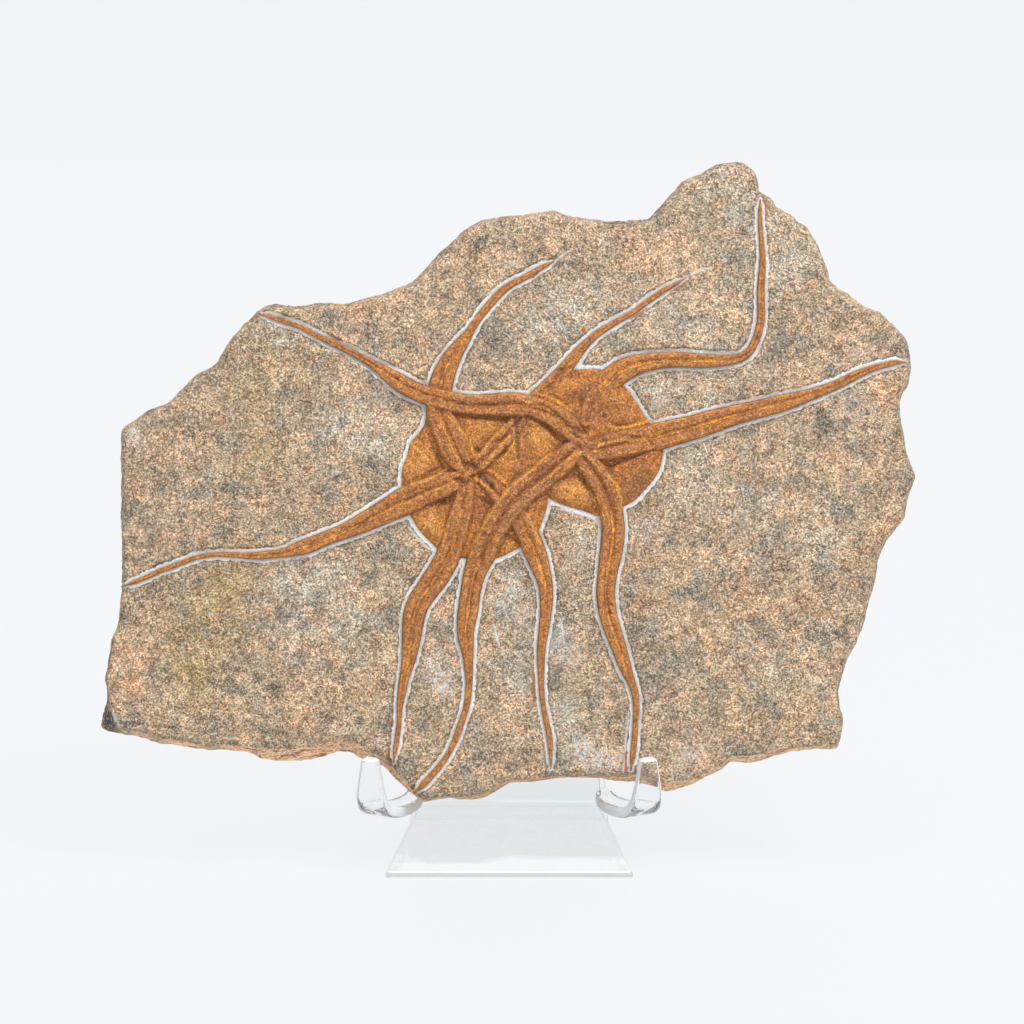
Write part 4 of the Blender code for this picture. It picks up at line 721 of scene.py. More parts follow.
@dataclass(frozen=True)
class PlateFrame:
    """Place of the leaning plate, measured from its construction solid."""

    origin: Vector

    @classmethod
    def from_node(cls, node: str, outline: Values) -> "PlateFrame":
        """Find the plate's own origin.

        Args:
            node: Name of the construction node.
            outline: Outline table of the plate.

        Returns:
            The frame of the plate.
        """
        x, y, z = (read_values(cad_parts[node].data.vertices, "co", 3) / MM).T
        up = y * sin(PLATE_LEAN) + z * cos(PLATE_LEAN)
        out = z * sin(PLATE_LEAN) - y * cos(PLATE_LEAN)
        across_shift = (x.min() + x.max() - outline[:, 0].min() - outline[:, 0].max()) / 2.0
        up_shift = (up.min() + up.max() - outline[:, 1].min() - outline[:, 1].max()) / 2.0
        out_shift = out.min() + PLATE_THICKNESS
        depth = up_shift * sin(PLATE_LEAN) - out_shift * cos(PLATE_LEAN)
        height = up_shift * cos(PLATE_LEAN) + out_shift * sin(PLATE_LEAN)
        return cls(Vector((across_shift, depth, height)) * MM)

    def place(self, points: Values) -> Values:
        """Turn across, up and out in millimetres into the model's frame in metres.

        Args:
            points: Points on the plate.

        Returns:
            Points in the model's frame.
        """
        across, up, out = points.T
        depth = up * sin(PLATE_LEAN) - out * cos(PLATE_LEAN)
        height = up * cos(PLATE_LEAN) + out * sin(PLATE_LEAN)
        return np.column_stack((across, depth, height)) * MM + np.array(self.origin)

    @property
    def facing(self) -> Vector:
        """Direction in which the face looks."""
        return Vector((0.0, -cos(PLATE_LEAN), sin(PLATE_LEAN)))

    @property
    def upward(self) -> Vector:
        """Direction up along the face."""
        return Vector((0.0, sin(PLATE_LEAN), cos(PLATE_LEAN)))


@dataclass
class Arm:
    """One arm: a flattened ray with a double ridge."""

    rows: Rows
    step: float = 0.7
    passes: int = 5
    reach: float = 7.0
    tip_run: float = 3.5
    tip_width: float = 0.3
    line: Values = field(init=False)

    def __post_init__(self) -> None:
        """Soften the table into an even line, and narrow its tip."""
        rows = np.array([(*row, 0.0)[:4] for row in self.rows])
        self.line = soften_line(rows, self.step, self.passes)
        length = np.linalg.norm(np.diff(self.line[:, :2], axis=0), axis=1)
        grown = ease(np.concatenate(([0.0], np.cumsum(length))) / self.tip_run)
        self.line[:, 2] *= self.tip_width + (1.0 - self.tip_width) * grown

    def measure(self, points: Values) -> dict[str, Values]:
        """Place of each point against the arm's axis.

        Args:
            points: Points with two columns.

        Returns:
            Edge distance, side share, half width and lift.
        """
        edge = np.full(len(points), self.reach)
        side, half, lift = np.zeros((3, len(points)))
        half += 1.0
        near = near_line(points, self.line, self.reach)
        for first in range(0, len(near), BATCH):
            rows = near[first : first + BATCH]
            gap, turn, there = nearest_on_line(points[rows], self.line)
            half[rows], lift[rows] = there.T
            edge[rows] = np.minimum(gap - there[:, 0], self.reach)
            side[rows] = np.sign(turn) * gap / there[:, 0]
        return {"edge": edge, "side": side, "half": half, "lift": lift}


@dataclass
class Disc:
    """Rounded body of one star."""

    rows: Rows
    rise: float
    rounding: float = 5.0
    edge_height: float = -0.25
    ring: Values = field(init=False)

    def __post_init__(self) -> None:
        """Soften the outline."""
        self.ring = soften_line(np.array(self.rows), 0.8, 3, closed=True)

    def height(self, points: Values) -> tuple[Values, Values]:
        """Height of the bare dome and distance to its edge.

        Args:
            points: Points with two columns.

        Returns:
            Heights and signed distances.
        """
        distance = ring_distance(points, self.ring)
        share = 1.0 - (1.0 - np.clip(-distance / self.rounding, 0.0, 1.0)) ** 2
        return self.edge_height + (self.rise - self.edge_height) * share, distance


@dataclass
class StarRelief:
    """Relief of both stars as a height over the plate's face."""

    base_ridge: float = 0.4
    ridge_per_width: float = 0.42
    blend: float = 9.0
    left_rise: float = 1.0
    right_rise: float = 1.7
    rim_drop: float = 1.5
    rim_reach: float = 0.3
    rim_floor: float = -0.3
    blend_sharpness: float = 9.0
    grain_rise: float = 0.05
    lump_rise: float = 0.14
    lump_size: float = 1.6
    ridge_rise: float = 0.1
    tip_reach: float = 3.0
    crease_depth: float = 0.3
    valley_depth: float = 0.34
    valley_width: float = 0.17
    lip_rise: float = 0.05
    lip_place: float = 0.8
    lip_width: float = 0.08
    flank_width: float = 0.24
    lit_fade: float = 0.35
    shade_fade: float = 0.7
    arm_lead: float = 0.05
    arm_fade: float = 0.3
    disc_fade: float = 1.5
    absent: float = -9.0
    arms: list[Arm] = field(init=False)
    discs: list[Disc] = field(init=False)
    noise: LatticeNoise = field(init=False)

    def __post_init__(self) -> None:
        """Make the arms and the discs."""
        self.arms = [Arm(rows) for rows in (*RIGHT_STAR_ARMS.values(), *LEFT_STAR_ARMS.values())]
        self.discs = [Disc(LEFT_DISC, self.left_rise), Disc(RIGHT_DISC, self.right_rise)]
        self.noise = LatticeNoise(21)

    def edge(self, points: Values) -> Values:
        """Signed distance to the common edge of the stars."""
        gaps = [disc.height(points)[1] for disc in self.discs]
        gaps.extend(arm.measure(points)["edge"] for arm in self.arms)
        return np.min(gaps, axis=0)

    def tip_share(self, points: Values) -> Values:
        """Nearness to an arm's tip, from nought to one."""
        tips = np.array([arm.line[0, :2] for arm in self.arms])
        gaps = np.linalg.norm(points[:, None] - tips, axis=2).min(axis=1)
        return 1.0 - ease(gaps / self.tip_reach)

    def arm_section(self, side: Values) -> Values:
        """Profile of the double ridge across an arm.

        Args:
            side: Share of the half width, signed.

        Returns:
            Share of the ridge's height.
        """
        share = np.abs(side)
        band = 1.0 - 0.5 * (share - 0.5) ** 2
        valley = self.valley_depth * np.exp(-((share / self.valley_width) ** 2))
        lip = self.lip_rise * np.exp(-(((share - self.lip_place) / self.lip_width) ** 2))
        flank = 0.3 + 0.7 * ease((1.0 - share) / self.flank_width)
        return (band - valley + lip) * flank

    def sample(self, points: Values) -> dict[str, Values]:
        """Height, edge distance and surface marks at each point.

        Args:
            points: Points with two columns.

        Returns:
            The values by name.
        """
        base, side = np.zeros((2, len(points)))
        half = np.ones(len(points))
        layers, edges = [], []
        lobes = bumps(points, LOBES)
        for disc in self.discs:
            height, distance = disc.height(points)
            base = np.maximum(base, ease(-distance / self.blend) * disc.rise)
            height = height + lobes * ease(-distance / disc.rounding)
            layers.append(np.where(distance < 0.0, height, self.absent))
            edges.append(distance)
        disc_top = np.max(layers, axis=0)
        disc_edge = np.min(edges, axis=0)
        arm_top = np.full(len(points), self.absent)
        for arm in self.arms:
            spot = arm.measure(points)
            crest = self.base_ridge + self.ridge_per_width * spot["half"]
            height = base + spot["lift"] + crest * self.arm_section(spot["side"])
            height = np.where(spot["edge"] < 0.0, height, self.absent)
            layers.append(height)
            edges.append(spot["edge"])
            side = np.where(height > arm_top, spot["side"], side)
            half = np.where(height > arm_top, spot["half"], half)
            arm_top = np.maximum(arm_top, height)
        edge = np.min(edges, axis=0)
        lit = line_mask(points, RIDGES, self.lit_fade)
        shade = line_mask(points, CREASES, self.shade_fade)
        height = self.surface(points, np.array(layers), edge)
        height += self.ridge_rise * lit - self.crease_depth * shade
        outside = self.rim_floor - self.rim_drop * np.clip(edge / self.rim_reach, 0.0, 1.0)
        height = np.where(edge < 0.0, np.maximum(height, self.rim_floor), outside)
        return {
            "height": height,
            "edge": edge,
            "arm": ease((arm_top - disc_top + self.arm_lead) / self.arm_fade),
            "middle_gap": np.abs(side) * half,
            "flank_gap": (1.0 - np.abs(side)) * half,
            "on_disc": ease(-disc_edge / self.disc_fade),
            "lit": lit,
            "shade": shade,
            "golden": patch_mask(points, GOLDEN),
            "dull": patch_mask(points, DULL),
        }

    def surface(self, points: Values, stack: Values, edge: Values) -> Values:
        """Blend the layers into one lumpy surface with its hollows.

        Args:
            points: Points with two columns.
            stack: Heights of the discs and arms.
            edge: Signed distance to the common edge.

        Returns:
            One height a point.
        """
        top = stack.max(axis=0)
        blended = np.exp(self.blend_sharpness * (stack - top)).sum(axis=0)
        height = top + np.log(blended) / self.blend_sharpness
        lumpy = self.noise.rough(flat_points(points), self.lump_size, 3, 0.6)
        grown = (self.grain_rise + self.lump_rise * lumpy) * ease(-edge / 0.7)
        return height + (grown - bumps(points, HOLLOWS))


@dataclass
class RockRelief:
    """Relief of the bare rock face and of the groove round the stars."""

    wave: float = 0.45
    floor_roughness: float = 0.07
    swell_rise: float = 0.12
    swell_place: float = 1.5
    swell_width: float = 0.5
    hidden_edge: float = -0.35
    hidden_drop: float = 0.5
    noise: LatticeNoise = field(default_factory=lambda: LatticeNoise(4))

    def bare(self, points: Values) -> Values:
        """Height of the rock without the groove.

        Args:
            points: Points with two columns.

        Returns:
            One height a point.
        """
        x, y = points.T
        wave = np.sin(x * 0.071 + 1.3) * np.cos(y * 0.083 - 0.4)
        ripple = np.sin(x * 0.19 + y * 0.13 + 2.0) * np.cos(y * 0.21 - x * 0.06)
        flat = flat_points(points)
        layered = flat * np.array((1.0, 2.2, 1.0))
        coarse = self.noise.rough(layered, 9.0, 3, 0.55)
        fine = self.noise.rough(flat + 40.0, 2.2, 3, 0.75)
        pits = np.clip(-self.noise.sample(flat + 90.0, 3.1) - 0.35, 0.0, 1.0)
        return self.wave * (wave + 0.5 * ripple) + 0.5 * coarse + 0.34 * fine - 0.5 * pits

    def height(self, points: Values, edge: Values) -> Values:
        """Height of the worked face.

        Args:
            points: Points with two columns.
            edge: Distance to the stars.

        Returns:
            One height a point.
        """
        flat = flat_points(points)
        wander = 0.16 * self.noise.sample(flat, 2.3) + 0.06 * self.noise.sample(flat, 0.7)
        lip = ease((edge + wander - GRIND_END) / (GRIND_LIP - GRIND_END))
        floor = -GRIND_DEPTH + self.floor_roughness * self.noise.sample(flat + 11.0, 0.9)
        swell = self.swell_rise * np.exp(-(((edge - self.swell_place) / self.swell_width) ** 2))
        height = floor * (1.0 - lip) + (self.bare(points) + swell) * lip
        return np.where(edge < self.hidden_edge, -GRIND_DEPTH - self.hidden_drop, height)


class Lattice:
    """Triangular lattice of points and its faces, kept where asked."""

    def __init__(self, low: Values, high: Values, step: float) -> None:
        """Lay the lattice over a rectangle.

        Args:
            low: Lowest corner.
            high: Highest corner.
            step: Spacing of the points.
        """
        rise = step * np.sqrt(3.0) / 2.0
        self.columns = int((high[0] - low[0]) / step) + 2
        self.rows = int((high[1] - low[1]) / rise) + 2
        column, row = np.meshgrid(np.arange(self.columns), np.arange(self.rows))
        across = low[0] + (column + 0.5 * (row % 2)) * step
        up = low[1] + row * rise
        self.points = np.column_stack((across.ravel(), up.ravel()))

    def faces(self, keep: Values) -> Values:
        """Faces whose three corners are all kept.

        Args:
            keep: Whether each lattice point is kept.

        Returns:
            Corner indices of the faces, turning left.
        """
        column, row = np.meshgrid(np.arange(self.columns - 1), np.arange(self.rows - 1))
        a = (row * self.columns + column).ravel()
        b, c, d = a + 1, a + self.columns, a + self.columns + 1
        odd = (row % 2).ravel().astype(bool)[:, None]
        lower = np.where(odd, np.column_stack((a, b, d)), np.column_stack((a, b, c)))
        upper = np.where(odd, np.column_stack((a, d, c)), np.column_stack((b, d, c)))
        faces = np.vstack((lower, upper))
        return faces[keep[faces].all(axis=1)]


def near_points(points: Values, relief: StarRelief, limit: float, coarse: float = 1.5) -> Values:
    """Points close enough to the stars to be worth measuring.

    Args:
        points: Points with two columns.
        relief: Relief of the stars.
        limit: Largest distance wanted.
        coarse: Spacing of the quick first test.

    Returns:
        Whether each point may be within the limit.
    """
    low = points.min(axis=0) - coarse
    size = np.ceil((points.max(axis=0) - low) / coarse).astype(int) + 2
    grid = np.stack(np.meshgrid(np.arange(size[0]), np.arange(size[1]), indexing="ij"), -1)
    centres = low + (grid.reshape(-1, 2) + 0.5) * coarse
    close = relief.edge(centres) < limit + coarse
    cell = np.floor((points - low) / coarse).astype(int)
    return close.reshape(size)[cell[:, 0], cell[:, 1]]


def face_edges(faces: Values) -> Values:
    """Directed edges of triangles."""
    return np.vstack((faces[:, (0, 1)], faces[:, (1, 2)], faces[:, (2, 0)]))


def rim_edges(faces: Values) -> Values:
    """Directed edges of a patch that have only one face.

    Args:
        faces: Corner indices of the faces.

    Returns:
        The rim edges.
    """
    edges = face_edges(faces)
    width = edges.max() + 1
    forward = edges[:, 0] * width + edges[:, 1]
    backward = edges[:, 1] * width + edges[:, 0]
    return edges[~np.isin(forward, backward)]


def drop_pinches(faces: Values) -> Values:
    """Remove faces where the patch touches itself at one corner.

    Args:
        faces: Corner indices of the faces.

    Returns:
        The faces that are left.
    """
    while True:
        starts, counts = np.unique(rim_edges(faces)[:, 0], return_counts=True)
        pinched = starts[counts > 1]
        if len(pinched) == 0:
            return faces
        faces = faces[~np.isin(faces, pinched).any(axis=1)]


def neighbour_mean(values: Values, edges: Values, passes: int) -> Values:
    """Average values with those of the neighbouring points.

    Args:
        values: One value a point.
        edges: Pairs of neighbouring points.
        passes: Number of averaging passes.

    Returns:
        The averaged values.
    """
    count = np.bincount(edges.ravel(), minlength=len(values)) + 1.0
    result = values.astype(float)
    for _ in range(passes):
        total = result.copy()
        total += np.bincount(edges[:, 0], result[edges[:, 1]], len(values))
        total += np.bincount(edges[:, 1], result[edges[:, 0]], len(values))
        result = total / count
    return result


def triangulate(points: Values, edges: list, nearness: float) -> tuple[Values, Values]:
    """Fill closed outlines with triangles through all the points.

    Args:
        points: Points with two columns.
        edges: Pairs of points that the outlines run through.
        nearness: Distance at which two points count as one.

    Returns:
        The points, and faces turning left.
    """
    result = delaunay_2d_cdt([Vector(point) for point in points], edges, [], 1, nearness)
    flat = np.array([tuple(point) for point in result[0]])
    faces = np.array([tuple(face) for face in result[2]])
    a, b, c = (flat[faces[:, corner]] for corner in range(3))
    turn = (b[:, 0] - a[:, 0]) * (c[:, 1] - a[:, 1]) - (b[:, 1] - a[:, 1]) * (c[:, 0] - a[:, 0])
    faces[turn < 0.0] = faces[turn < 0.0][:, ::-1]
    return flat, faces


def fill_ring(rim: Values, inner: Values) -> tuple[Values, Values]:
    """Fill a closed rim with triangles through the inner points.

    Args:
        rim: Points of the closed rim in order.
        inner: Further points inside the rim.

    Returns:
        All points, the rim's first, and faces turning left.
    """
    edges = [(i, (i + 1) % len(rim)) for i in range(len(rim))]
    return triangulate(np.vstack((rim, inner)), edges, 1e-6)


def band_faces(first: Values, second: Values) -> Values:
    """Triangles between two rings with matching points.

    Args:
        first: Indices of the ring nearer the face.
        second: Indices of the ring nearer the back.

    Returns:
        The faces.
    """
    first_next, second_next = np.roll(first, -1), np.roll(second, -1)
    upper = np.column_stack((first, first_next, second_next))
    return np.vstack((upper, np.column_stack((first, second_next, second))))


def make_mesh_object(
    name: str, points: Values, faces: Values, marks: dict[str, Values]
) -> bpy.types.Object:
    """Make a smooth-shaded mesh object with point attributes.

    Args:
        name: Name of the object.
        points: Points in metres.
        faces: Triangles.
        marks: Values to store, one a point.

    Returns:
        The new object.
    """
    mesh = bpy.data.meshes.new(name)
    mesh.from_pydata(points.tolist(), [], faces.tolist())
    mesh.update()
    for mark, values in marks.items():
        write_mark(mesh, mark, values)
    shade_smooth(mesh)
    return link_object(name, mesh)


def outward(line: Values, span: int) -> Values:
    """Outward direction at each point of a closed line, level with the face.

    Args:
        line: Points of the line, turning right.
        span: Number of points to either side that the direction is taken over.

    Returns:
        One direction a point, with two columns.
    """
    run = (np.roll(line, -span, axis=0) - np.roll(line, span, axis=0))[:, :2]
    run = run / np.linalg.norm(run, axis=1, keepdims=True)
    return np.column_stack((-run[:, 1], run[:, 0]))


@dataclass
class SandstoneSlab:
    """Slab of rock with its groove, broken rim and rough back."""

    plate: PlateFrame
    stars: StarRelief
    rock: RockRelief
    rim_step: float = 0.6
    fine_step: float = 0.34
    coarse_step: float = 0.92
    hidden_step: float = 3.0
    back_step: float = 2.3
    fine_reach: float = 1.9
    hidden_reach: float = -0.9
    rim_clearance: float = 0.45
    back_clearance: float = 1.2
    shoulder_drop: float = 0.6
    widest_top: float = 4.0
    widest_foot: float = 7.0
    foot_band_top: float = -45.0
    lower_depth: float = 11.0
    lower_inset: float = 0.8
    back_inset: float = 2.0
    back_hollow: float = 0.8
    back_fresh: float = 0.45
    side_roughness: float = 0.5
    chip_rise: float = 0.42
    star_gap_beyond: float = 7.0
    widest_ring: int = 5
    noise: LatticeNoise = field(default_factory=lambda: LatticeNoise(9))

    def main_rings(self) -> list[Values]:
        """Rings of the rim as the construction solid has them."""
        table = np.array(PLATE_OUTLINE)
        outline = table[:, :2]
        normal = outward(outline, 1)
        random = np.random.default_rng(11)
        rough = random.uniform(-1.0, 1.0, len(outline)) * self.side_roughness
        foot = ease((self.foot_band_top - outline[:, 1]) / 10.0)
        widest = -(self.widest_top * (1.0 - foot) + self.widest_foot * foot)
        front = outline - normal * table[:, 2:3]
        lower = outline - normal * (self.lower_inset + np.abs(rough))[:, None]
        back = outline - normal * (self.back_inset + np.abs(rough))[:, None]
        return [
            np.column_stack((front, self.rock.bare(front) * 0.4 - self.shoulder_drop)),
            np.column_stack((outline, widest)),
            np.column_stack((lower, rough - self.lower_depth)),
            flat_points(back, self.shoulder_drop - PLATE_THICKNESS),
        ]

    def rim_rings(self) -> list[Values]:
        """Fine, broken rings from the face's edge to the back's edge."""
        mains = self.main_rings()
        outline = mains[1][:, :2]
        span = np.linalg.norm(np.roll(outline, -1, axis=0) - outline, axis=1)
        counts = np.maximum(np.round(span / self.rim_step).astype(int), 1)
        curves = [curve_through(ring, counts) for ring in mains]
        normal = outward(curves[1], 2)
        rings = []
        for upper, lower, steps in zip(curves[:-1], curves[1:], (5, 6, 4)):
            for step in range(steps):
                share = step / steps
                rings.append(upper * (1.0 - share) + lower * share)
        rings.append(curves[-1])
        return [self.break_ring(ring, normal, i, len(rings)) for i, ring in enumerate(rings)]

    def break_ring(self, ring: Values, normal: Values, index: int, count: int) -> Values:
        """Roughen one ring outwards and inwards.

        Args:
            ring: Points of the ring.
            normal: Outward direction at each point.
            index: Number of the ring from the face.
            count: Number of rings.

        Returns:
            The roughened ring.
        """
        bedded = ring * np.array((1.0, 1.0, 3.0))
        chips = self.noise.rough(bedded, 6.0, 4, 0.62)
        ledge = self.noise.sample(ring * np.array((0.25, 0.25, 1.4)), 2.4)
        fine = self.noise.rough(bedded + 30.0, 1.7, 2, 0.6)
        push = self.chip_rise * (1.4 * chips + 0.5 * ledge + 0.6 * fine)
        low = ease((-58.0 - ring[:, 1]) / 6.0)
        push = np.where(push > 0.0, push * (1.0 - 0.8 * low), push)
        push = push * {0: 0.7, count - 1: 0.3}.get(index, 1.0)
        result = ring.copy()
        result[:, :2] += normal * push[:, None]
        if 0 < index < count - 1:
            result[:, 2] += 0.3 * self.noise.rough(ring + 60.0, 3.0, 2, 0.5)
        return result

    def face_points(self, rim: Values) -> Values:
        """Inner points of the face, closer together near the stars.

        Args:
            rim: Points of the face's edge.

        Returns:
            Points with two columns.
        """
        low, high = rim.min(axis=0), rim.max(axis=0)
        lattice = Lattice(low, high, self.fine_step).points
        fine = lattice[near_points(lattice, self.stars, self.fine_reach)]
        edge = self.stars.edge(fine)
        fine = fine[(edge < self.fine_reach) & (edge > self.hidden_reach)]
        marks = lattice[line_mask(lattice, WIDE_MARKS, 0.1) > 0.5]
        marks = marks[self.stars.edge(marks) > self.fine_reach]
        coarse = Lattice(low, high, self.coarse_step).points
        random = np.random.default_rng(2)
        coarse += random.uniform(-0.22, 0.22, coarse.shape) * self.coarse_step
        clear = self.stars.edge(coarse) > self.fine_reach + 0.5 * self.coarse_step
        coarse = coarse[clear & (line_mask(coarse, WIDE_MARKS, 0.1) < 0.5)]
        hidden = Lattice(low, high, self.hidden_step).points
        hidden = hidden[self.stars.edge(hidden) < self.hidden_reach - 1.0]
        inner = np.vstack((fine, marks, coarse, hidden))
        return inner[ring_distance(inner, rim) < -self.rim_clearance]

    def face_marks(self, points: Values) -> dict[str, Values]:
        """Masks that the rock's finish reads on the face.

        Args:
            points: Points with two columns.

        Returns:
            The masks by name.
        """
        marks = {name: patch_mask(points, table) for name, table in PATCHES.items()}
        return marks | {
            "star_gap": self.stars.edge(points),
            "scratch": line_mask(points, SCRATCHES, 0.35),
            "tip": self.stars.tip_share(points),
            "strand": line_mask(points, STRANDS, 0.3),
            "facet": line_mask(points, FACETS, 0.5),
            "broken": np.zeros(len(points)),
        }

    def build(self) -> bpy.types.Object:
        """Build the slab as one closed mesh with its masks."""
        rings = self.rim_rings()
        count = len(rings[0])
        rim = rings[0][:, :2]
        flat, faces = fill_ring(rim, self.face_points(rim))
        marks = self.face_marks(flat)
        height = self.rock.height(flat, marks["star_gap"])
        ragged = 0.7 + 0.6 * self.noise.sample(flat_points(flat, 17.0), 2.4)
        shoulder = ease(-ring_distance(flat, rim) / np.maximum(ragged, 0.3))
        height -= self.shoulder_drop * (1.0 - shoulder)
        height += 0.12 * marks["strand"] * ease(marks["star_gap"] - 0.3)
        height[:count] = rings[0][:, 2]
        blocks = [faces]
        previous = np.arange(count)
        for number in range(len(rings) - 1):
            current = np.arange(count) + len(flat) + number * count
            blocks.append(band_faces(previous, current))
            previous = current
        back, back_faces = self.back_patch(rings[-1][:, :2])
        blocks.append(back_faces[:, ::-1] + previous[0])
        whole = np.vstack((np.column_stack((flat, height)), *rings[1:], back[count:]))
        self.mark_sides(marks, rings, len(whole))
        return make_mesh_object(
            "matrix_slab", self.plate.place(whole), np.vstack(blocks), marks
        )

    def mark_sides(self, marks: dict[str, Values], rings: list[Values], total: int) -> None:
        """Extend the face's masks over the sides and the back.

        Args:
            marks: Masks of the face, by name.
            rings: Rings of the rim.
            total: Number of points of the whole slab.
        """
        broken_and_lit = self.broken_and_lit_share(rings)
        marks["broken"][: len(rings[0])] = broken_and_lit[0]
        start = len(marks["broken"])
        sides = slice(start, start + len(rings[0]) * (len(rings) - 1))
        for name, values in marks.items():
            beyond = {"star_gap": self.star_gap_beyond, "broken": self.back_fresh}.get(name, 0.0)
            marks[name] = np.concatenate((values, np.full(total - start, beyond)))
        around = np.vstack([ring[:, :2] for ring in rings[1:]])
        marks["broken"][sides] = np.concatenate(broken_and_lit[1:])
        marks["slate"][sides] = patch_mask(around, PATCHES["slate"])
        marks["facet"][sides] = line_mask(around, FACETS, 0.9)

    def broken_and_lit_share(self, rings: list[Values]) -> list[Values]:
        """Share of freshly broken rock along each ring, most on the lower sides, where its pale
        colour is also painted bounce light.

        Args:
            rings: Rings of the rim.

        Returns:
            One array a ring.
        """
        widest = rings[self.widest_ring]
        down = ease((outward(widest, 3)[:, 1] * -1.0 - 0.2) / 0.4)
        result = []
        for index in range(len(rings)):
            deep = self.back_fresh * ease((index - 6.0) / 5.0)
            result.append(np.maximum(down * ease((index + 0.5) / 2.0), deep))
        return result

    def back_patch(self, rim: Values) -> tuple[Values, Values]:
        """Rough back of the slab, flat where the stand's rest runs.

        Args:
            rim: Points of the back's edge.

        Returns:
            Points with three columns, and faces.
        """
        inner = Lattice(rim.min(axis=0), rim.max(axis=0), self.back_step).points
        random = np.random.default_rng(6)
        inner += random.uniform(-0.2, 0.2, inner.shape) * self.back_step
        inner = inner[ring_distance(inner, rim) < -self.back_clearance]
        flat, faces = fill_ring(rim, inner)
        across, up = np.abs(flat[:, 0]), flat[:, 1]
        deep = ease((-ring_distance(flat, rim) - 2.0) / 6.0)
        middle = ease((across - 34.0) / 20.0)
        swell = 0.5 + 0.5 * np.sin(flat[:, 0] * 0.11 + up * 0.09)
        free = 1.0 - ease((26.0 - across) / 6.0) * ease((2.0 - up) / 6.0)
        rough = self.noise.rough(flat_points(flat, 30.0), 7.0, 4, 0.6)
        out = -PLATE_THICKNESS + self.back_hollow * middle * swell
        out += self.shoulder_drop * (1.0 - deep)
        out += (0.45 + 0.8 * rough) * free * deep + 0.1 * (1.0 + rough) * deep
        return np.column_stack((flat, np.maximum(out, -PLATE_THICKNESS))), faces


@dataclass
class BrittleStars:
    """Both stars as one raised sheet of fossil, let into the rock."""

    plate: PlateFrame
    stars: StarRelief
    low: tuple[float, float] = (-99.5, -73.0)
    high: tuple[float, float] = (101.0, 81.0)
    step: float = 0.29
    base: float = -2.3
    hollow_floor: float = -0.6
    hollow_passes: int = 14

    def build(self) -> bpy.types.Object:
        """Build the raised stars as one closed mesh with their masks."""
        lattice = Lattice(self.low, self.high, self.step)
        keep = near_points(lattice.points, self.stars, 0.5)
        rows = np.flatnonzero(keep)
        sample = self.stars.sample(lattice.points[rows])
        keep[rows] = sample.pop("edge") < self.stars.rim_reach
        faces = drop_pinches(lattice.faces(keep))
        used, faces = np.unique(faces, return_inverse=True)
        faces = faces.reshape(-1, 3)
        chosen = np.searchsorted(rows, used)
        marks = {name: values[chosen] for name, values in sample.items()}
        height = marks.pop("height")
        edges = np.unique(np.sort(face_edges(faces), axis=1), axis=0)
        shaded = np.maximum(height, self.hollow_floor)
        # The hollow mark drives painted shade in hollows and a painted highlight on crests.
        marks["hollow"] = neighbour_mean(shaded, edges, self.hollow_passes) - shaded
        return self.close(lattice.points[used], height, faces, marks)

    def close(
        self, flat: Values, height: Values, faces: Values, marks: dict[str, Values]
    ) -> bpy.types.Object:
        """Close the sheet with a wall and a flat base.

        Args:
            flat: Points of the sheet with two columns.
            height: Height of each point.
            faces: Faces of the sheet.
            marks: Values stored on each point.

        Returns:
            The new object.
        """
        directed = rim_edges(faces)
        rim, local = np.unique(directed, return_inverse=True)
        local = local.reshape(-1, 2)
        first, second = directed.T
        below_first, below_second = local.T + len(flat)
        walls = np.vstack((
            np.column_stack((second, first, below_first)),
            np.column_stack((second, below_first, below_second)),
        ))
        base = triangulate(flat[rim], local.tolist(), 1e-7)[1][:, ::-1]
        whole = np.vstack((np.column_stack((flat, height)), flat_points(flat[rim], self.base)))
        marks = {name: np.concatenate((values, values[rim])) for name, values in marks.items()}
        blocks = np.vstack((faces, walls, base + len(flat)))
        return make_mesh_object("brittle_stars", self.plate.place(whole), blocks, marks)


